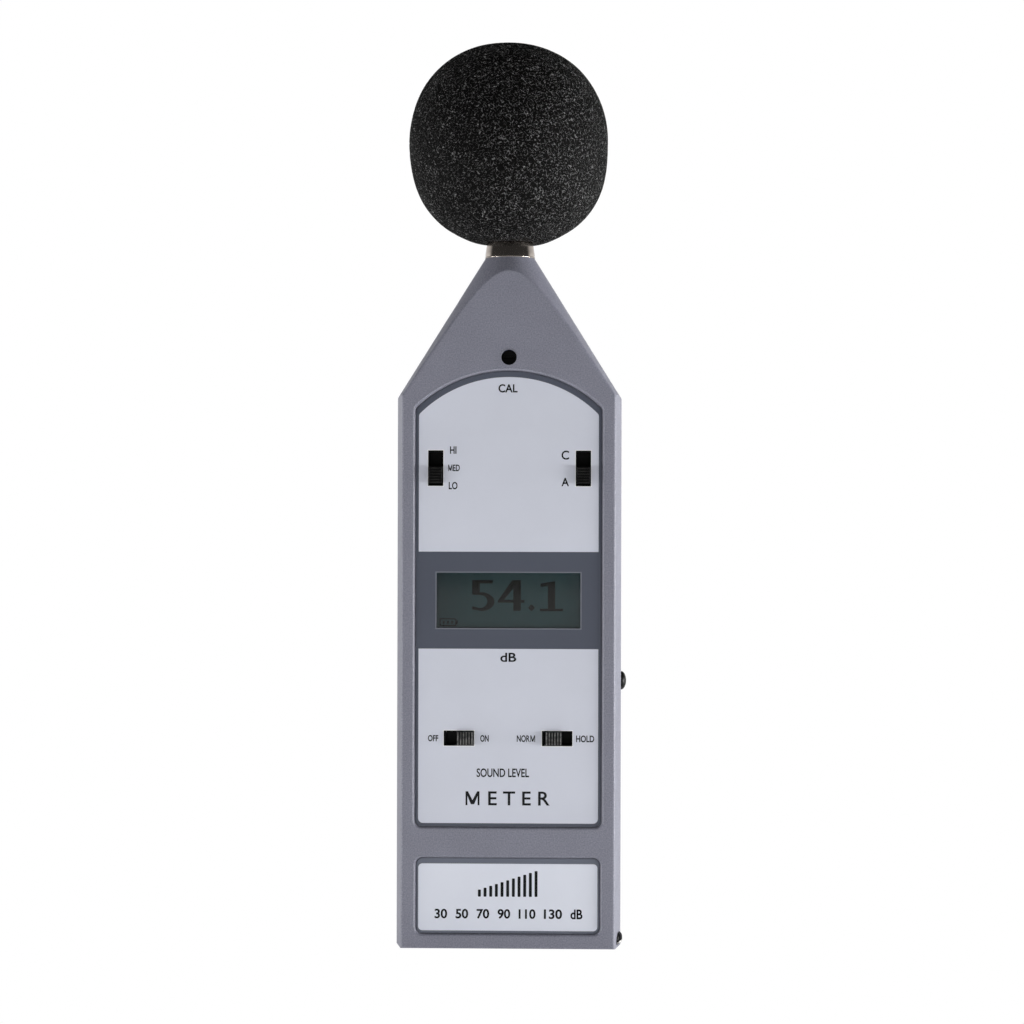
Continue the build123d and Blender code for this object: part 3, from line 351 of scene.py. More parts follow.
def foam_material():
    """Open-cell foam: near-black cells crossed by short bright curls of strut, with a few glints; the curls
    and glints are painted highlights.
    """
    paint = Paint("open_cell_foam", 0.7, Specular_IOR_Level=0.08)
    curls = None
    for size, shift, width in FOAM_CURLS:
        wave = paint.noise(size, detail=0, shift=shift)
        near = paint.maths("DIVIDE", paint.maths("ABSOLUTE", paint.maths("SUBTRACT", wave, 0.5)), width)
        crest = paint.maths("SUBTRACT", 1.0, near, clamp=True)
        broken = paint.span(paint.noise(0.8 * size, detail=0, shift=shift + 0.13), 0.46, 0.55)
        curl = paint.maths("MULTIPLY", crest, broken)
        curls = curl if curls is None else paint.maths("MAXIMUM", curls, curl)
    # Painted glints: small pale spots where struts would catch the light.
    glint = paint.span(paint.cells(3.4 * MM), 0.075, 0.045)
    # Painted highlights: the curls are coloured far lighter than the near-black foam.
    painted_strut_highlights = paint.ramp(
        curls, (0.0, grey(0.002)), (0.45, grey(0.004)), (0.75, grey(0.07)), (1.0, grey(0.34)),
    )
    paint.colour(paint.mix(glint, painted_strut_highlights, grey(0.42)))
    paint.bump(curls, 0.25 * MM)
    return paint.material


def metal(name, colour, roughness, stretch=(1, 1, 1)):
    """Plated metal with drawn marks and cloudy reflections."""
    paint = Paint(name, roughness, metallic=1.0)
    cloud = paint.noise(6 * MM, detail=4)
    marks = paint.noise(0.5 * MM, stretch=stretch)
    paint.colour(paint.ramp(cloud, (0.3, shade(colour, 0.93)), (0.7, shade(colour, 1.03))))
    paint.rough(marks, roughness * 0.7, roughness * 1.5)
    paint.bump(marks, 0.001 * MM)
    return paint.material


def display_material():
    """Liquid crystal glass: grey-green, with painted shade towards both ends, most towards the left end, and
    faint mottled polariser film.
    """
    paint = Paint("display_glass", 0.35, Specular_IOR_Level=0.2)
    low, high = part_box("lcd_glass")
    along = paint.maths("DIVIDE", paint.maths("SUBTRACT", paint.axis("X"), low.x), high.x - low.x)
    # Painted shade: the glass is coloured darker near its ends, most at the left.
    tone = paint.ramp(
        along, (0.05, (0.058, 0.101, 0.114)), (0.3, (0.076, 0.148, 0.160)), (0.8, (0.079, 0.154, 0.167)),
        (0.97, (0.066, 0.119, 0.133)),
    )
    film = paint.ramp(paint.noise(5 * MM, detail=3), (0.3, grey(0.93)), (0.7, grey(1.0)))
    paint.colour(paint.mix(1.0, tone, film, "MULTIPLY"))
    paint.bump(paint.noise(0.3 * MM), 0.002 * MM)
    return paint.material


def clear_material():
    """Clear acrylic: it lets light straight through and reflects more at a glancing angle."""
    paint = Paint("clear_window")
    paint.nodes.remove(paint.shader)
    haze = paint.noise(9 * MM, detail=3)
    gloss = paint.nodes.new("ShaderNodeBsdfGlossy")
    paint.shader = gloss
    paint.rough(haze, 0.03, 0.09)
    through = paint.nodes.new("ShaderNodeBsdfTransparent")
    through.inputs["Color"].default_value = (0.94, 0.96, 0.96, 1)
    fresnel = paint.nodes.new("ShaderNodeFresnel")
    fresnel.inputs["IOR"].default_value = 1.49
    mix = paint.nodes.new("ShaderNodeMixShader")
    paint.links.new(fresnel.outputs["Fac"], mix.inputs["Fac"])
    paint.links.new(through.outputs["BSDF"], mix.inputs[1])
    paint.links.new(gloss.outputs["BSDF"], mix.inputs[2])
    paint.links.new(mix.outputs["Shader"], paint.nodes["Material Output"].inputs["Surface"])
    return paint.material


def board_material():
    """Green solder resist over copper tracks, with a grid of pads."""
    paint = Paint("circuit_board", 0.35)
    tracks = paint.cells(5.08 * MM, "DISTANCE_TO_EDGE", stretch=(1, 0.02, 1), randomness=0.6)
    copper = paint.ramp(tracks, (0.07, COPPER_TRACK), (0.09, SOLDER_RESIST))
    pads = paint.cells(2.54 * MM, stretch=(1, 0.02, 1), randomness=0.0)
    solder = paint.ramp(pads, (0.20, SOLDER), (0.23, grey(0.0)))
    paint.colour(paint.mix(1.0, copper, solder, "LIGHTEN"))
    paint.bump(tracks, 0.03 * MM)
    return paint.material


def banded(name, body, bands, axis, size):
    """Lacquered or sleeved parts with coloured bands that repeat along one axis."""
    paint = Paint(name, 0.3)
    place = paint.maths("FRACT", paint.maths("DIVIDE", paint.axis(axis), size))
    stops = [(0.0, body)]
    for start, end, colour in bands:
        stops += [(start, body), (start + 0.01, colour), (end - 0.01, colour), (end, body)]
    paint.colour(paint.ramp(place, *stops))
    paint.bump(paint.noise(0.8 * MM), 0.01 * MM)
    return paint.material


def knob_material(name, crest):
    """Ribbed nylon: black in its grooves, with a painted highlight along its ribs, broken up in random
    patches.
    """
    paint = Paint(name, 0.34, Specular_IOR_Level=0.25)
    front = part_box("range_switch_knob")[0].y
    out = paint.maths("DIVIDE", paint.maths("SUBTRACT", front + RIDGE_DEPTH, paint.axis("Y")), RIDGE_DEPTH)
    # Painted highlight: the ribs' tops are coloured lighter than the grooves.
    ribs = paint.ramp(out, (0.35, grey(0.003)), (0.95, crest))
    rubbed = paint.ramp(paint.noise(1.3 * MM, detail=3), (0.38, grey(0.25)), (0.6, grey(1.0)))
    paint.colour(paint.mix(1.0, ribs, rubbed, "MULTIPLY"))
    paint.bump(paint.noise(0.3 * MM), 0.01 * MM)
    return paint.material


def pad_material():
    """Fine closed-cell foam strip."""
    paint = Paint("closed_cell_foam", 0.8)
    cells = paint.cells(0.5 * MM)
    paint.colour(paint.ramp(cells, (0.1, (0.035, 0.035, 0.037)), (0.6, (0.012, 0.012, 0.013))))
    paint.bump(cells, 0.12 * MM)
    return paint.material


def battery_material():
    """Printed battery jacket: dark body under a copper-coloured top band, with a scuffed clear coat."""
    paint = Paint("battery_jacket", 0.3, Coat_Weight=0.4)
    low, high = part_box("battery")
    up = paint.maths("DIVIDE", paint.maths("SUBTRACT", paint.axis("Z"), low.z), high.z - low.z)
    jacket = paint.ramp(
        up, (0.66, BATTERY_BODY), (0.665, BATTERY_LINE), (0.68, BATTERY_LINE), (0.685, (0.50, 0.24, 0.09)),
        (1.0, (0.56, 0.28, 0.11)),
    )
    scuff = paint.noise(3 * MM, detail=5)
    worn = paint.ramp(scuff, (0.35, grey(0.9)), (0.6, grey(1.0)))
    paint.colour(paint.mix(1.0, jacket, worn, "MULTIPLY"))
    paint.rough(scuff, 0.22, 0.42)
    return paint.material


def make_materials():
    return {
        "housing": moulded("housing_abs", HOUSING, 0.47, 0.42 * MM, 0.045 * MM, mottle=0.17),
        "panel": printed("panel_film", PANEL, 0.40),
        "plate": printed("name_plate_film", PLATE, 0.40),
        "plate_field": printed("name_plate_ink", NAME_FIELD, 0.38),
        # Painted highlights round the panel's openings, white at the slots and grey at the display.
        "painted_highlight_white": printed("painted_highlight_white_edge", (0.93, 0.94, 0.96), 0.5),
        "painted_highlight_grey": printed("painted_highlight_grey_edge", (0.20, 0.21, 0.25), 0.5),
        "field": printed("panel_field_ink", FIELD, 0.42),
        "ink": printed("legend_ink", INK, 0.5, gloss=0.15),
        "window": clear_material(),
        "lcd": display_material(),
        "segments": printed("display_segments", SEGMENTS, 0.5, gloss=0.1),
        "black_plastic": moulded("black_nylon", BLACK, 0.42, 0.25 * MM, 0.012 * MM, gloss=0.2),
        # Both knob materials paint a highlight on the ribs' tops; the sideways knobs' copy is far brighter.
        "knob_dark": knob_material("knob_nylon", (0.016, 0.016, 0.015)),
        "knob_rib_highlight": knob_material("knob_nylon_rib_highlight", (0.18, 0.18, 0.175)),
        "white_plastic": moulded("white_nylon", (0.62, 0.62, 0.59), 0.45, 0.3 * MM, 0.008 * MM),
        "label": printed("rating_film", (0.50, 0.51, 0.53), 0.34),
        "board": board_material(),
        "component_black": moulded("chip_epoxy", (0.018, 0.018, 0.019), 0.55, 0.2 * MM, 0.012 * MM),
        "component_blue": banded("capacitor_sleeve", (0.015, 0.05, 0.20), CAPACITOR_BANDS, "X", 6 * MM),
        "component_tan": banded("resistor_lacquer", (0.50, 0.36, 0.20), RESISTOR_BANDS, "Z", 6.4 * MM),
        "trimmer": moulded("trimmer_body_blue", (0.015, 0.07, 0.30), 0.35, 0.3 * MM, 0.008 * MM),
        "nickel": metal("nickel_plate", (0.56, 0.50, 0.45), 0.12, stretch=(1, 1, 12)),
        "steel": metal("zinc_plate", (0.62, 0.61, 0.58), 0.28),
        "dark_wire": metal("blackened_wire", (0.22, 0.215, 0.21), 0.3),
        "brass": metal("turned_brass", (0.78, 0.58, 0.28), 0.24, stretch=(1, 14, 1)),
        "foam": foam_material(),
        "pad": pad_material(),
        "rubber": moulded("silicone_rubber", (0.03, 0.03, 0.032), 0.6, 0.3 * MM, 0.01 * MM),
        "battery_case": battery_material(),
    }


# ---------------------------------------------------------------- making pieces
def add_piece(name, mesh, material, body, smooth_angle=None):
    """A finished mesh object with its material and body."""
    piece = bpy.data.objects.new(name, mesh)
    bpy.context.scene.collection.objects.link(piece)
    mesh.materials.clear()
    mesh.materials.append(material)
    if smooth_angle is not None:
        mesh.shade_smooth()
        mesh.set_sharp_from_angle(angle=radians(smooth_angle))
    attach(piece, body)
    return piece


def mesh_of(object_data, name):
    """A mesh copy of a curve or text, with what made it removed."""
    holder = bpy.data.objects.new(name + "_source", object_data)
    bpy.context.scene.collection.objects.link(holder)
    bpy.context.view_layer.update()
    made = holder.evaluated_get(bpy.context.evaluated_depsgraph_get())
    mesh = bpy.data.meshes.new_from_object(made)
    bpy.data.objects.remove(holder)
    mesh.name = name
    return mesh


def face_matrix(y, rear=False):
    """Takes a flat drawing (x right, y up, z towards the viewer) onto the front or rear face at depth y."""
    if rear:
        turn = Matrix(((-1, 0, 0), (0, 0, 1), (0, 1, 0)))
    else:
        turn = Matrix(((1, 0, 0), (0, 0, -1), (0, 1, 0)))
    return Matrix.Translation((0, y, 0)) @ turn.to_4x4()


def solid_from(name, outlines, thickness, bevel=0.0):
    """A flat solid, 0 to thickness high, from closed outlines; outlines inside the first are holes."""
    data = bpy.data.curves.new(name, "CURVE")
    data.dimensions = "2D"
    data.fill_mode = "BOTH"
    data.extrude = thickness / 2 - bevel
    data.bevel_depth = bevel
    data.bevel_resolution = 2
    data.offset = -bevel
    for points in outlines:
        spline = data.splines.new("POLY")
        spline.points.add(len(points) - 1)
        for point, (across, up) in zip(spline.points, points):
            point.co = (across, up, 0, 1)
        spline.use_cyclic_u = True
    mesh = mesh_of(data, name)
    mesh.transform(Matrix.Translation((0, 0, thickness / 2)))
    return mesh


def flat_sheet(name, outlines, y, thickness, rear=False):
    """A thin sheet on the front or rear face from closed outlines of (x, z) points in metres."""
    mesh = solid_from(name, outlines, thickness)
    mesh.transform(face_matrix(y, rear))
    return mesh


def letter_m(stem):
    """The outline of a unit-wide M, which the font's own can't be thickened into without folding over."""
    half = [
        (0.12, 0.07), (0.5 - stem, 0.68), (0.5 - stem, 0), (0.5, 0), (0.5, 1), (0.5 - 1.3 * stem, 1),
    ]
    right = [(0.5 + across, up) for across, up in half]
    left = [(0.5 - across, up) for across, up in reversed(half)]
    return right + [(0.5, 0.36)] + left


def lettering(words, width, height, x, z, y, weight=0.0, rear=False):
    """A mesh of plain letters of the given width and height, centred at x and z on the face at depth y."""
    if words == "M":
        mesh = solid_from("lettering", [scaled(letter_m(M_STEM), 0, 0, height)], INK_T)
    else:
        data = bpy.data.curves.new("lettering", "FONT")
        data.body = words
        data.size = height
        data.offset = weight
        data.extrude = INK_T / 2
        data.resolution_u = 6
        mesh = mesh_of(data, "lettering")
        mesh.transform(Matrix.Translation((0, 0, INK_T / 2)))
    across = [vertex.co.x for vertex in mesh.vertices]
    up = [vertex.co.y for vertex in mesh.vertices]
    middle = Vector(((max(across) + min(across)) / 2, (max(up) + min(up)) / 2, 0))
    stretch = (width / (max(across) - min(across)), height / (max(up) - min(up)), 1)
    mesh.transform(Matrix.Diagonal((*stretch, 1)) @ Matrix.Translation(-middle))
    mesh.transform(face_matrix(y, rear) @ Matrix.Translation((-x if rear else x, z, 0)))
    return mesh


def join_meshes(name, meshes):
    """One mesh from several."""
    whole = bmesh.new()
    for mesh in meshes:
        whole.from_mesh(mesh)
        bpy.data.meshes.remove(mesh)
    joined = bpy.data.meshes.new(name)
    whole.to_mesh(joined)
    whole.free()
    return joined


def rounded_box(x_low, x_high, z_low, z_high, radius, steps=6):
    """A rounded rectangle's outline as (x, z) points."""
    points = []
    corners = ((x_high, z_high, 0), (x_low, z_high, 90), (x_low, z_low, 180), (x_high, z_low, 270))
    for corner_x, corner_z, start in corners:
        centre_x = corner_x - radius * (1 if corner_x == x_high else -1)
        centre_z = corner_z - radius * (1 if corner_z == z_high else -1)
        for step in range(steps + 1):
            angle = radians(start + 90 * step / steps)
            points.append((centre_x + radius * cos(angle), centre_z + radius * sin(angle)))
    return points


def square_box(x_low, x_high, z_low, z_high):
    return [(x_high, z_high), (x_low, z_high), (x_low, z_low), (x_high, z_low)]


def lathe(name, profile, segments):
    """A surface of revolution about the microphone's axis from (radius, z) points.

    A profile that starts and ends on the axis makes a solid; any other is joined end to end into a ring."""
    shape = bmesh.new()
    rings = []
    turn = 2 * pi / segments
    for radius, z in profile:
        steps = range(segments if radius else 1)
        places = [(radius * cos(turn * i), radius * sin(turn * i), z) for i in steps]
        rings.append([shape.verts.new(place) for place in places])
    pairs = list(zip(rings, rings[1:]))
    if profile[0][0] > 0:
        pairs.append((rings[-1], rings[0]))
    for low, high in pairs:
        for i in range(segments):
            j = (i + 1) % segments
            corners = [low[i % len(low)], low[j % len(low)], high[j % len(high)], high[i % len(high)]]
            corners = list(dict.fromkeys(corners))
            if len(corners) > 2:
                shape.faces.new(corners)
    bmesh.ops.recalc_face_normals(shape, faces=shape.faces)
    mesh = bpy.data.meshes.new(name)
    shape.to_mesh(mesh)
    shape.free()
    return mesh


def arc(centre_x, centre_z, radius, start, end, steps, radius_z=None):
    """Points round a circle or ellipse between two angles in degrees."""
    points = []
    for i in range(steps + 1):
        angle = radians(start + (end - start) * i / steps)
        points.append((centre_x + radius * cos(angle), centre_z + (radius_z or radius) * sin(angle)))
    return points


def scaled(points, x, z, size=MM):
    """Points drawn about (0, 0) in units of size metres, moved to (x, z)."""
    return [(x + size * across, z + size * up) for across, up in points]


# ---------------------------------------------------------------- foam windscreen
FOAM_SQUARENESS_LOW = 2.36
FOAM_SQUARENESS_HIGH = 2.13
FOAM_RISE = 31.6 * MM  # from the widest place to the top
FOAM_LEAN = -0.55 * MM  # how far the ball's middle sits to the side of the microphone
FOAM_FLAT_R = 9.5 * MM
FOAM_CORNER_R = 17.9 * MM
FOAM_BALL_STEPS = 2000
FOAM_CORNER_STEPS = 12
FOAM_STEP = 0.34 * MM
FOAM_SEGMENTS = 560
FOAM_CELL = 1.2 * MM
FOAM_PIT = 0.22 * MM
FOAM_WALL = 0.34
FOAM_LUMP = 0.22 * MM
FOAM_LUMP_SIZE = 13 * MM
FOAM_LUMP_SINK = 0.6  # keeps the lumps below the outline
FOAM_EVENNESS = 0.55  # the share of a pit's depth that doesn't vary
FOAM_MOUTH_ROUND = 0.9 * MM
FOAM_MOUTH_GAP = 0.06 * MM
FOAM_THROAT_LOW = 1 * MM
FOAM_THROAT_HIGH = 3.4 * MM
FOAM_BORE_R = 6.95 * MM
FOAM_BORE_TOP = 0.8 * MM  # above the widest place
FOAM_BORE_END_IN = 1 * MM
FOAM_BORE_END_UP = 0.6 * MM


def spaced(points, step):
    """The same line with its points evenly spaced."""
    lengths = [0.0]
    for (r0, z0), (r1, z1) in zip(points, points[1:]):
        lengths.append(lengths[-1] + hypot(r1 - r0, z1 - z0))
    count = max(1, round(lengths[-1] / step))
    even, i = [], 0
    for place in range(count + 1):
        reach = lengths[-1] * place / count
        while i < len(points) - 2 and lengths[i + 1] < reach:
            i += 1
        share = (reach - lengths[i]) / (lengths[i + 1] - lengths[i])
        even.append(tuple(a + (b - a) * share for a, b in zip(points[i], points[i + 1])))
    return even


def foam_outline(low, high):
    """The ball's outside from its top to the mouth, as (radius, height) points."""
    widest_r, widest_z = high.x, high.z - FOAM_RISE
    ball = []
    for i in range(1, FOAM_BALL_STEPS):
        turn = pi * i / FOAM_BALL_STEPS
        power = 2 / (FOAM_SQUARENESS_HIGH if turn < pi / 2 else FOAM_SQUARENESS_LOW)
        radius = widest_r * sin(turn) ** power
        if turn > pi / 2 and radius < FOAM_CORNER_R:
            break
        height = FOAM_RISE * abs(cos(turn)) ** power
        ball.append((radius, widest_z + (height if turn < pi / 2 else -height)))
    corner_top, flat_edge = Vector(ball[-1]), Vector((FOAM_FLAT_R, low.z))
    slope = corner_top - Vector(ball[-2])
    corner = corner_top + slope * (low.z - corner_top.y) / slope.y
    for i in range(1, FOAM_CORNER_STEPS + 1):
        share = i / FOAM_CORNER_STEPS
        point = corner_top * (1 - share) ** 2 + 2 * corner * share * (1 - share) + flat_edge * share**2
        ball.append(tuple(point))
    mouth_r = collar_radius(low.z) + FOAM_MOUTH_GAP
    rolled = arc(mouth_r + FOAM_MOUTH_ROUND, low.z + FOAM_MOUTH_ROUND, FOAM_MOUTH_ROUND, 270, 180, 8)
    return spaced([(0, high.z)] + ball + rolled, FOAM_STEP)


def make_foam(materials):
    """The ball with its bore, pitted like open-cell foam and a little lumpy."""
    low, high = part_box("windscreen")
    outside = foam_outline(low, high)
    mouth_r, mouth_z = outside[-1]
    centre = Vector((0, 0, high.z - FOAM_RISE))
    bore_top_z = centre.z + FOAM_BORE_TOP
    bore = [
        (mouth_r, mouth_z + FOAM_THROAT_LOW),
        (FOAM_BORE_R, mouth_z + FOAM_THROAT_HIGH),
        (FOAM_BORE_R, bore_top_z),
        (FOAM_BORE_R - FOAM_BORE_END_IN, bore_top_z + FOAM_BORE_END_UP),
        (0, bore_top_z + FOAM_BORE_END_UP),
    ]
    mesh = lathe("foam_windscreen", outside + bore, FOAM_SEGMENTS)
    skin = 1 + (len(outside) - 1) * FOAM_SEGMENTS
    for vertex in mesh.vertices[:skin]:
        place = vertex.co.copy()
        near = noise.voronoi(place / FOAM_CELL)[0]
        wall = min(1.0, (near[1] - near[0]) / FOAM_WALL)
        fine = 0.5 + 0.5 * noise.noise(place / (0.5 * FOAM_CELL))
        depth = wall * wall * (3 - 2 * wall) * (FOAM_EVENNESS + (1 - FOAM_EVENNESS) * fine)
        lump = FOAM_LUMP * (noise.noise(place / FOAM_LUMP_SIZE) - FOAM_LUMP_SINK)
        vertex.co += (place - centre).normalized() * (lump - FOAM_PIT * depth)
        vertex.co.x += FOAM_LEAN * min(1.0, max(0.0, (place.z - low.z) / FOAM_RISE))
    piece = add_piece("foam_windscreen", mesh, materials["foam"], "foam", smooth_angle=180)
    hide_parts("windscreen")


# ---------------------------------------------------------------- microphone collar
COLLAR_LIP = 0.6 * MM
COLLAR_ROLL = 0.22 * MM
COLLAR_TOP_R = 6.75 * MM
COLLAR_BORE_R = 6.4 * MM
COLLAR_GROOVE = 0.12 * MM
COLLAR_INSET = 0.03 * MM
COLLAR_RINGS = 12
COLLAR_SEGMENTS = 160


def collar_radius(z):
    """Outside radius of the nickel cone at a height."""
    low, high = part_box("neck_collar")
    foot = low.z + COLLAR_LIP
    share = max(0.0, (z - foot) / (high.z - foot))
    return high.x + (COLLAR_TOP_R - high.x) * share


def make_collar(materials):
    """A thin-walled cone with a rolled lip that stands on the housing's neck."""
    low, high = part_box("neck_collar")
    roll_r, foot = high.x - COLLAR_ROLL, low.z + COLLAR_LIP
    profile = [(COLLAR_BORE_R, low.z), (roll_r, low.z)]
    profile += arc(roll_r, low.z + COLLAR_ROLL, COLLAR_ROLL, -60, 60, 6)
    profile.append((high.x - COLLAR_GROOVE, foot))
    for i in range(1, COLLAR_RINGS + 1):
        z = foot + (high.z - foot) * i / COLLAR_RINGS
        profile.append((collar_radius(z) - COLLAR_INSET, z))
    profile.append((COLLAR_BORE_R, high.z))
    mesh = lathe("neck_collar_shell", profile, COLLAR_SEGMENTS)
    piece = add_piece("neck_collar_shell", mesh, materials["nickel"], METER, smooth_angle=40)
    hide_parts("neck_collar")


# ---------------------------------------------------------------- printed fields and legends
INK_T = 0.02 * MM
M_STEM = 0.13
FIELD_T = 0.04 * MM
FIELD_HALF_W = 27.8 * MM
FIELD_CORNER_R = 1.5 * MM
FIELD_RISE = 11.6 * MM
FIELD_TOP_MARGIN = 1.7 * MM
FIELD_FOOT_MARGIN = 0.9 * MM
BAND_BELOW = 14.95 * MM  # from the display's middle to the edges of the dark band
BAND_ABOVE = 15.05 * MM
NAME_HALF_W = 27.7 * MM
NAME_CORNER_R = 1.3 * MM
NAME_TOP_MARGIN = 1.6 * MM
NAME_FOOT_MARGIN = 0.7 * MM
# Widths of the painted highlight lines round the slots and round the display.
EDGE_HIGHLIGHT_W = 0.22 * MM
DISPLAY_EDGE_W = 1.5 * EDGE_HIGHLIGHT_W
DISPLAY_VIEW = (44.5 * MM, 17.15 * MM)
SLOT_W = 4.7 * MM
SLOTS = {  # x and z of each switch's slot, and its length
    "range": (-22.6 * MM, 148.4 * MM, 11.0 * MM),
    "weighting": (23.05 * MM, 148.4 * MM, 11.0 * MM),
    "power": (-15.2 * MM, 64.95 * MM, 9.4 * MM),
    "mode": (15.15 * MM, 64.95 * MM, 9.4 * MM),
}
SIDEWAYS = ("power", "mode")  # the switches that slide left and right; the others slide up and down


def slot_outline(name, grow=0.0):
    """A switch's slot in the panel, or a line drawn round it."""
    x, z, length = SLOTS[name]
    across, up = length / 2 + grow, SLOT_W / 2 + grow
    if name not in SIDEWAYS:
        across, up = up, across
    return square_box(x - across, x + across, z - up, z + up)


def display_middle():
    """Height of the middle of the display."""
    low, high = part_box("lcd_glass")
    return (low.z + high.z) / 2


def arched_field(half_w, low_z, apex_z, rise, corner_r):
    """A field with an arc across its top and small rounded shoulders."""
    arc_r = (half_w**2 + rise**2) / (2 * rise)
    centre_z = apex_z - arc_r
    corner_x = half_w - corner_r
    corner_z = centre_z + ((arc_r - corner_r) ** 2 - corner_x**2) ** 0.5
    lean = degrees(atan2(corner_z - centre_z, corner_x))
    right = arc(corner_x, corner_z, corner_r, 0, lean, 6)
    top = arc(0, centre_z, arc_r, lean, 180 - lean, 48)
    left = arc(-corner_x, corner_z, corner_r, 180 - lean, 180, 6)
    return right + top[1:-1] + left + [(-half_w, low_z), (half_w, low_z)]


def make_fields(materials):
    """The pale printed areas of the front panel and the name plate, cut where the panel is cut."""
    low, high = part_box("front_overlay")
    plate_low, plate_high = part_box("name_plate")
    band_low, band_high = display_middle() - BAND_BELOW, display_middle() + BAND_ABOVE
    top, foot = high.z - FIELD_TOP_MARGIN, low.z + FIELD_FOOT_MARGIN
    upper = [arched_field(FIELD_HALF_W, band_high, top, FIELD_RISE, FIELD_CORNER_R)]
    upper += [slot_outline(name) for name in ("range", "weighting")]
    past_band = band_low + 2 * FIELD_CORNER_R
    round_foot = rounded_box(-FIELD_HALF_W, FIELD_HALF_W, foot, past_band, FIELD_CORNER_R)
    lower = [[(x, min(z, band_low)) for x, z in round_foot]]
    lower += [slot_outline(name) for name in ("power", "mode")]
    plate_foot, plate_top = plate_low.z + NAME_FOOT_MARGIN, plate_high.z - NAME_TOP_MARGIN
    plate = [rounded_box(-NAME_HALF_W, NAME_HALF_W, plate_foot, plate_top, NAME_CORNER_R)]
    for name, outlines, face_y, material, slot in (
        ("upper_field", upper, low.y, "field", "panel"),
        ("lower_field", lower, low.y, "field", "panel"),
        ("name_field", plate, plate_low.y, "plate_field", "plate"),
    ):
        add_piece(name, flat_sheet(name, outlines, face_y, FIELD_T), materials[material], METER)


def make_edge_highlights(materials):
    """Painted highlights: thin pale lines round each opening of the panel, where its cut edge would catch
    the light.
    """
    face_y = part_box("front_overlay")[0].y
    for name in SLOTS:
        piece = name + "_slot_edge"
        mesh = flat_sheet(piece, [slot_outline(name, EDGE_HIGHLIGHT_W), slot_outline(name)], face_y - FIELD_T, INK_T)
        add_piece(piece, mesh, materials["painted_highlight_white"], METER)
    across, up = DISPLAY_VIEW[0] / 2, DISPLAY_VIEW[1] / 2
    z = display_middle()
    edges = [
        square_box(-across - grow, across + grow, z - up - grow, z + up + grow)
        for grow in (DISPLAY_EDGE_W, 0)
    ]
    mesh = flat_sheet("display_edge", edges, face_y, FIELD_T)
    add_piece("display_edge", mesh, materials["painted_highlight_grey"], METER)


# Words, then their width, height, x and z in millimetres, and how much bolder than plain.
LEGENDS = (
    ("CAL", 5.9, 2.6, -0.3, 173.1, 0.06),
    ("HI", 2.0, 2.3, -17.2, 154.0, 0.05),
    ("M", 1.3, 2.0, -18.1, 148.5, 0.0),
    ("ED", 2.1, 2.0, -16.2, 148.5, 0.04),
    ("LO", 2.7, 2.3, -17.2, 143.0, 0.05),
    ("C", 2.35, 2.8, 17.45, 152.5, 0.05),
    ("A", 2.35, 2.6, 17.45, 144.2, 0.05),
    ("dB", 4.9, 2.8, 0.0, 90.0, 0.05),
    ("OFF", 3.2, 1.95, -23.2, 64.9, 0.05),
    ("ON", 2.6, 2.1, -7.3, 64.9, 0.05),
    ("NOR", 4.0, 2.1, 4.7, 64.9, 0.05),
    ("M", 1.45, 2.1, 7.6, 64.9, 0.0),
    ("HOLD", 5.6, 2.1, 23.8, 64.9, 0.05),
    ("SOUND LEVEL", 16.2, 2.7, -1.6, 54.3, 0.05),
    ("M", 4.3, 4.3, -10.95, 46.4, 0.0),
    ("E T E R", 19.0, 4.3, 3.4, 46.4, 0.05),
)
SCALE_WORDS = (  # with their widths in millimetres
    ("30", 3.9), ("50", 3.9), ("70", 3.9), ("90", 3.9), ("110", 5.2), ("130", 5.6), ("dB", 3.7),
)
SCALE_LEFT = -22.6 * MM
SCALE_GAP = 2.6 * MM
SCALE_LETTER_H = 3.0 * MM
SCALE_LETTER_Z = 5.9 * MM  # above the foot of the name plate, like the bars
SCALE_BAR_Z = 11.2 * MM
SCALE_BARS = 11
SCALE_BAR_PITCH = 1.75 * MM
SCALE_BAR_HALF_W = 0.45 * MM
SCALE_BAR_R = 0.2 * MM
SCALE_BAR_FIRST = 2.2 * MM
SCALE_BAR_GROWTH = 0.58 * MM


def make_legends(materials):
    face_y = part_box("front_overlay")[0].y - FIELD_T
    meshes = [
        lettering(words, width * MM, height * MM, x * MM, z * MM, face_y, weight=bold * MM)
        for words, width, height, x, z, bold in LEGENDS
    ]
    add_piece("panel_legends", join_meshes("panel_legends", meshes), materials["ink"], METER)


def make_name_plate_scale(materials):
    """A plain level scale: rising bars over a row of decibel numbers."""
    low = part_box("name_plate")[0]
    face_y = low.y - FIELD_T
    letter_z, foot = low.z + SCALE_LETTER_Z, low.z + SCALE_BAR_Z
    meshes = []
    left = SCALE_LEFT
    for word, millimetres in SCALE_WORDS:
        width = millimetres * MM
        x = left + width / 2
        meshes.append(lettering(word, width, SCALE_LETTER_H, x, letter_z, face_y, weight=0.08 * MM))
        left += width + SCALE_GAP
    for i in range(SCALE_BARS):
        x = (i - (SCALE_BARS - 1) / 2) * SCALE_BAR_PITCH
        top = foot + SCALE_BAR_FIRST + i * SCALE_BAR_GROWTH
        bar = rounded_box(x - SCALE_BAR_HALF_W, x + SCALE_BAR_HALF_W, foot, top, SCALE_BAR_R, steps=2)
        meshes.append(flat_sheet("bar", [bar], face_y, INK_T))
    add_piece("name_plate_scale", join_meshes("name_plate_scale", meshes), materials["ink"], METER)


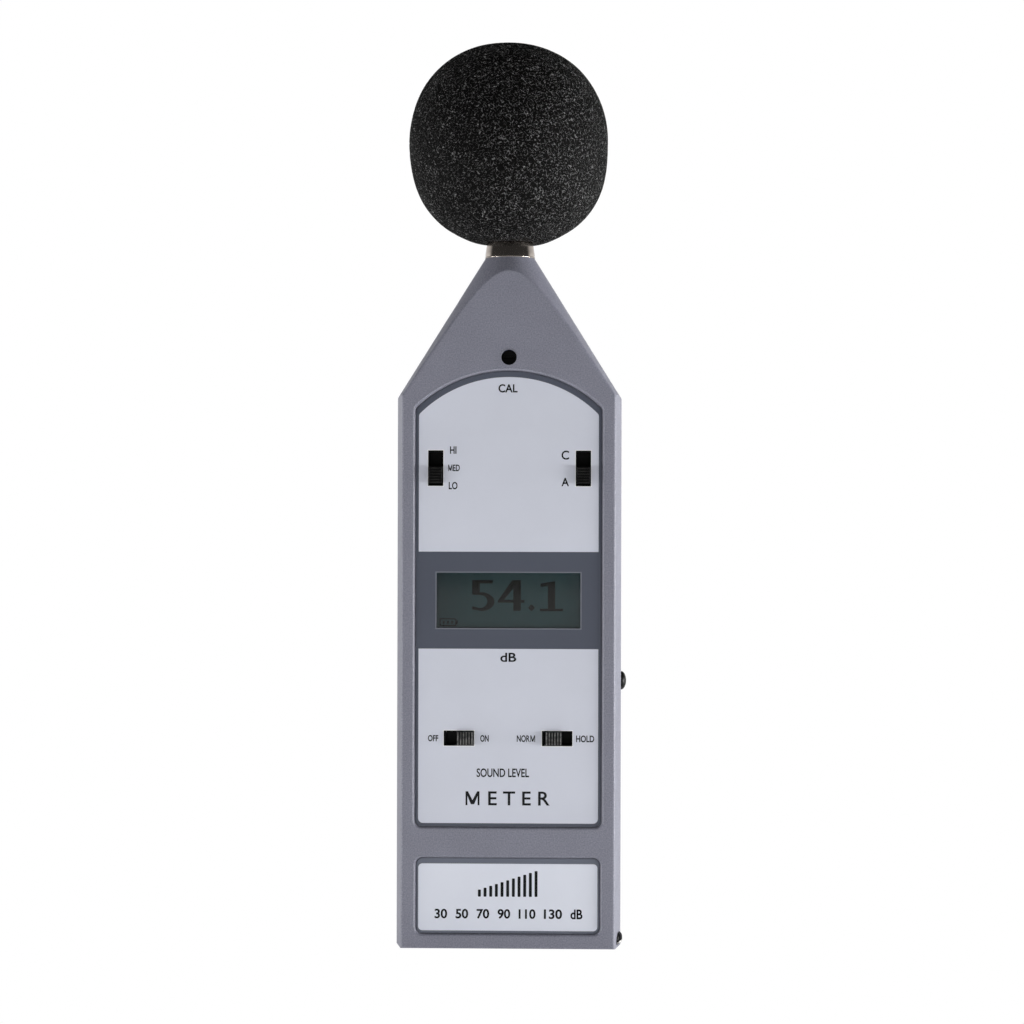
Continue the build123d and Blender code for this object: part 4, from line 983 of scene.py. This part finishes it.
# ---------------------------------------------------------------- display
# Each sign is drawn in millimetres from the lower left corner of its box.
def five():
    bar_and_stem = [(0, 9.5), (6.5, 9.5), (6.3, 8.45), (2.35, 8.45), (2.35, 5.75)]
    outside = arc(2.6, 2.8, 4.3, 90, -84, 18, 2.95)
    inside = arc(2.3, 2.86, 2.4, -90, 90, 16, 2.04)
    return [bar_and_stem + outside + [(0, 0.4), (0, 1.4)] + inside + [(0, 4.95)]]


def four():
    body = [(4.4, 9.5), (7.1, 9.5), (7.1, 3.35), (8.2, 3.35), (8.2, 2.5), (7.1, 2.5), (7.1, 0), (4.75, 0)]
    body += [(4.75, 2.5), (0, 2.5), (0, 3.2)]
    return [body, [(4.75, 6.9), (4.75, 3.4), (1.85, 3.4)]]


def point():
    return [[(1.1, 2.2), (0, 1.1), (1.1, 0), (2.2, 1.1)]]


def one():
    flag = [(2.3, 8.95), (0.1, 8.5), (0.15, 7.5), (1.3, 7.65), (2.4, 7.85)]
    stem_and_foot = [(2.4, 0.8), (0, 0.8), (0, 0), (7.1, 0), (7.1, 0.8), (4.65, 0.8), (4.65, 9.35)]
    return [flag + stem_and_foot]


def battery_sign():
    """An outlined cell with its terminal and three charge bars."""
    frame_lines = [rounded_box(0, 5.2, 0, 2.4, 0.3, 3), rounded_box(0.32, 4.88, 0.32, 2.08, 0.1, 3)]
    bars = [square_box(1.0 + 1.3 * i, 1.6 + 1.3 * i, 0.8, 1.6) for i in range(3)]
    return [frame_lines, [square_box(5.2, 5.6, 0.6, 1.8)]] + [[bar] for bar in bars]


# Where each sign's corner is from the display's middle, in millimetres.
READING = ((five, -11.3, -3.25), (four, -3.3, -3.25), (point, 6.0, -3.4), (one, 9.75, -3.35))
BATTERY_SIGN_PLACE = (-21.4, -8.05)


def make_segments(materials):
    """The reading and the battery sign, printed dark on the front of the glass."""
    z = display_middle()
    face_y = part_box("lcd_glass")[0].y
    signs = [(draw(), across, up) for draw, across, up in READING]
    signs += [(lines, *BATTERY_SIGN_PLACE) for lines in battery_sign()]
    meshes = [
        flat_sheet("sign", [scaled(line, across * MM, z + up * MM) for line in lines], face_y, INK_T)
        for lines, across, up in signs
    ]
    whole = join_meshes("display_segments", meshes)
    add_piece("display_segments", whole, materials["segments"], METER)


# ---------------------------------------------------------------- slide switch knobs
RIDGES = 6
RIDGE_SHARE = 0.5  # of the pitch that a ridge takes
KNOB_EDGE_R = 0.07 * MM


def knob_outline(length, height):
    """Side view of a knob as (along, out) points: a flat back and rounded ridges in front."""
    pitch = length / RIDGES
    half = pitch * RIDGE_SHARE / 2
    points = [(-length / 2, 0), (length / 2, 0), (length / 2, height - RIDGE_DEPTH)]
    for i in range(RIDGES):
        middle = ((RIDGES - 1) / 2 - i) * pitch
        points.append((middle + half, height - RIDGE_DEPTH))
        points += arc(middle, height - half, half, 0, 180, 8)
        points.append((middle - half, height - RIDGE_DEPTH))
    return points + [(-length / 2, height - RIDGE_DEPTH)]


def make_knobs(materials):
    """Moulded sliders with rounded ribs, each in its CAD knob's place."""
    for name in SLOTS:
        node = name + "_switch_knob"
        low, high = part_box(node)
        size, middle = high - low, (low + high) / 2
        if name in SIDEWAYS:
            length, width = size.x, size.z
            turn = Matrix(((1, 0, 0), (0, -1, 0), (0, 0, -1)))
            # Painted highlight: the sideways knobs get the brighter rib highlight.
            nylon = materials["knob_rib_highlight"]
        else:
            length, width = size.z, size.x
            turn = Matrix(((0, 0, 1), (0, -1, 0), (1, 0, 0)))
            nylon = materials["knob_dark"]
        mesh = solid_from(name + "_knob", [knob_outline(length, size.y)], width, KNOB_EDGE_R)
        mesh.transform(Matrix.Translation((0, 0, -width / 2)))
        mesh.transform(Matrix.Translation((middle.x, high.y, middle.z)) @ turn.to_4x4())
        piece = add_piece(name + "_knob", mesh, nylon, name + "_slider", smooth_angle=50)
        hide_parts(node)


# ---------------------------------------------------------------- calibration hole and strap eye
CAL_RIM_W = 0.3 * MM
CAL_RIM_T = 0.1 * MM
CAL_RIM_EDGE_R = 0.04 * MM
SIDE_TAPER = 2.0 * MM  # by how much the side wall leans in from the parting line to the front face
# The black sheet painted in as the shadow behind the strap loop.
SHADOW_SHEET_TURN = 33.0
SHADOW_SHEET_LENGTH = 4.6 * MM
SHADOW_SHEET_WIDTH = 2.9 * MM
SHADOW_SHEET_T = 0.16 * MM
SHADOW_SHEET_EDGE_R = 0.05 * MM
SHADOW_SHEET_SINK = 0.02 * MM
SHADOW_SHEET_Y = -5.1 * MM
SHADOW_SHEET_Z = 2.55 * MM


def make_calibration_rim(materials):
    """The slightly raised, rounded rim of the screwdriver hole."""
    low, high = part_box("trimmer_rotor")
    radius, z = (high.x - low.x) / 2, (low.z + high.z) / 2
    rings = [arc(0, z, radius + grow, 0, 360, 64)[:-1] for grow in (CAL_RIM_W, 0.0)]
    mesh = solid_from("calibration_rim", rings, CAL_RIM_T, CAL_RIM_EDGE_R)
    mesh.transform(face_matrix(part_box("front_shell")[0].y))
    add_piece("calibration_rim", mesh, materials["housing"], METER, smooth_angle=60)


def make_strap_shadow_sheet(materials):
    """Painted shadow: a black sheet behind the strap loop, where the gap lies in shade, set slantwise on the
    sloping side wall.
    """
    front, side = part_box("front_shell"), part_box("rear_shell")
    half = (SHADOW_SHEET_LENGTH - SHADOW_SHEET_WIDTH) / 2
    radius = SHADOW_SHEET_WIDTH / 2
    outline = arc(half, 0, radius, -90, 90, 12) + arc(-half, 0, radius, 90, 270, 12)
    mesh = solid_from("strap_shadow_sheet", [outline], SHADOW_SHEET_T, SHADOW_SHEET_EDGE_R)
    slope = SIDE_TAPER / -front[0].y
    along = Vector((slope, 1, 0)).normalized()
    outward = along.cross(Vector((0, 0, 1)))
    axes = Matrix((along, (0, 0, 1), outward)).transposed().to_4x4()
    place = Vector((side[1].x + slope * SHADOW_SHEET_Y, SHADOW_SHEET_Y, SHADOW_SHEET_Z)) - outward * SHADOW_SHEET_SINK
    mesh.transform(Matrix.Translation(place) @ axes @ Matrix.Rotation(radians(SHADOW_SHEET_TURN), 4, "Z"))
    add_piece("strap_shadow_sheet", mesh, materials["black_plastic"], METER, smooth_angle=60)


# ---------------------------------------------------------------- battery and rear
PAD_COLUMNS = 40
PAD_ROWS = 60
PAD_SQUARENESS = 8
PAD_CROWN = 0.35
PAD_ROUGHNESS = 0.1
PAD_GRAIN = 0.4  # how far the noise moves on from one row to the next
PRINT_INSET = 1.4 * MM
PRINT_BORDER_W = 0.3 * MM
PRINT_CORNER_R = 1.6 * MM
PRINT_RULES = (-4.2 * MM, 4.2 * MM)
PRINT_RULE_HALF_W = 0.1 * MM
PRINT_LETTER_H = 2.8 * MM
PRINT_ROWS = (  # words, their width, and their height above the label's middle
    ("SOUND LEVEL METER", 34 * MM, 9.4 * MM),
    ("30 - 130 dB   A / C", 32 * MM, 0.0),
    ("9 V", 6.5 * MM, -9.4 * MM),
)
ARROW = ((-4.5, 0), (0, -5), (4.5, 0), (1.6, 0), (1.6, 6), (-1.6, 6), (-1.6, 0))  # in millimetres
ARROW_T = 0.25 * MM
ARROW_EDGE_R = 0.06 * MM


def make_pad(materials):
    """A crowned strip of foam between the battery and its door."""
    low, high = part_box("battery_pad")
    middle, half = (low + high) / 2, (high - low) / 2
    shape = bmesh.new()
    for side in (-1, 1):
        grid = []
        for i in range(PAD_COLUMNS + 1):
            across = 2 * i / PAD_COLUMNS - 1
            line = []
            for j in range(PAD_ROWS + 1):
                up = 2 * j / PAD_ROWS - 1
                crown = ((1 - across**PAD_SQUARENESS) * (1 - up**PAD_SQUARENESS)) ** PAD_CROWN
                rough = 1 - PAD_ROUGHNESS * noise.noise(Vector((i * PAD_GRAIN, j * PAD_GRAIN, side)))
                place = Vector((half.x * across, side * half.y * crown * rough, half.z * up))
                line.append(shape.verts.new(middle + place))
            grid.append(line)
        for i in range(PAD_COLUMNS):
            for j in range(PAD_ROWS):
                shape.faces.new((grid[i][j], grid[i + 1][j], grid[i + 1][j + 1], grid[i][j + 1]))
    bmesh.ops.remove_doubles(shape, verts=shape.verts, dist=0.001 * MM)
    bmesh.ops.recalc_face_normals(shape, faces=shape.faces)
    mesh = bpy.data.meshes.new("battery_foam_pad")
    shape.to_mesh(mesh)
    shape.free()
    piece = add_piece("battery_foam_pad", mesh, materials["pad"], METER, smooth_angle=180)
    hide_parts("battery_pad")


def make_rear_print(materials):
    """Plain ratings inside a ruled border on the rear label."""
    low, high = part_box("rating_label")
    middle_z = (low.z + high.z) / 2
    inside = PRINT_INSET + PRINT_BORDER_W
    border = [
        rounded_box(low.x + inset, high.x - inset, low.z + inset, high.z - inset, PRINT_CORNER_R - inset / 2)
        for inset in (PRINT_INSET, inside)
    ]
    meshes = [flat_sheet("border", border, high.y, INK_T, rear=True)]
    for row in PRINT_RULES:
        z = middle_z + row
        rule = square_box(low.x + inside, high.x - inside, z - PRINT_RULE_HALF_W, z + PRINT_RULE_HALF_W)
        meshes.append(flat_sheet("rule", [rule], high.y, INK_T, rear=True))
    for words, width, row in PRINT_ROWS:
        meshes.append(lettering(words, width, PRINT_LETTER_H, 0, middle_z + row, high.y, rear=True))
    add_piece("rating_print", join_meshes("rating_print", meshes), materials["ink"], METER)


def make_door_arrow(materials):
    """A raised arrow that shows which way the battery door slides."""
    low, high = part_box("battery_door")
    middle_z = (low.z + high.z) / 2
    mesh = solid_from("door_arrow", [scaled(ARROW, 0, 0)], ARROW_T, ARROW_EDGE_R)
    mesh.transform(face_matrix(high.y, rear=True) @ Matrix.Translation((0, middle_z, 0)))
    add_piece("door_arrow", mesh, materials["housing"], "door", smooth_angle=40)


# ---------------------------------------------------------------- floor
def add_floor():
    """A plain pale floor, faintly glowing, that the lens sees as the same white as the backdrop."""
    shape = bmesh.new()
    bmesh.ops.create_grid(shape, x_segments=FLOOR_CELLS, y_segments=FLOOR_CELLS, size=FLOOR_SIZE)
    mesh = bpy.data.meshes.new("floor")
    shape.to_mesh(mesh)
    shape.free()
    floor = bpy.data.objects.new("floor", mesh)
    bpy.context.scene.collection.objects.link(floor)
    floor.location.z = cad_low.z - FLOOR_DROP
    paint = Paint("pale_floor", 0.8)
    paint.colour(grey(0.80))
    paint.shader.inputs["Emission Color"].default_value = WHITE
    paint.shader.inputs["Emission Strength"].default_value = FLOOR_GLOW
    lamp = paint.nodes.new("ShaderNodeEmission")
    lamp.inputs["Color"].default_value = WHITE
    lamp.inputs["Strength"].default_value = 1.0
    surface = paint.nodes["Material Output"].inputs["Surface"]
    white_to_lens(paint.material.node_tree, paint.shader.outputs["BSDF"], lamp.outputs["Emission"], surface)
    mesh.materials.append(paint.material)


# ---------------------------------------------------------------- the whole scene
SHOWN_AS = {"strap_loop": "dark_wire"}  # the node whose material isn't that of its slot


def finish_cad_nodes(materials):
    """Gives every CAD node the material of its slot in the record, or the one in SHOWN_AS."""
    for part in frame["record"]["subparts"]:
        mesh = frame["nodes"][part["node"]].data
        mesh.materials.clear()
        mesh.materials.append(materials[SHOWN_AS.get(part["node"], part["material_slot"])])


add_camera()
add_studio()
materials = make_materials()
finish_cad_nodes(materials)
for make in (
    make_foam, make_collar, make_fields, make_edge_highlights, make_legends, make_name_plate_scale,
    make_segments, make_knobs, make_calibration_rim, make_strap_shadow_sheet, make_pad, make_rear_print,
    make_door_arrow,
):
    make(materials)
add_floor()
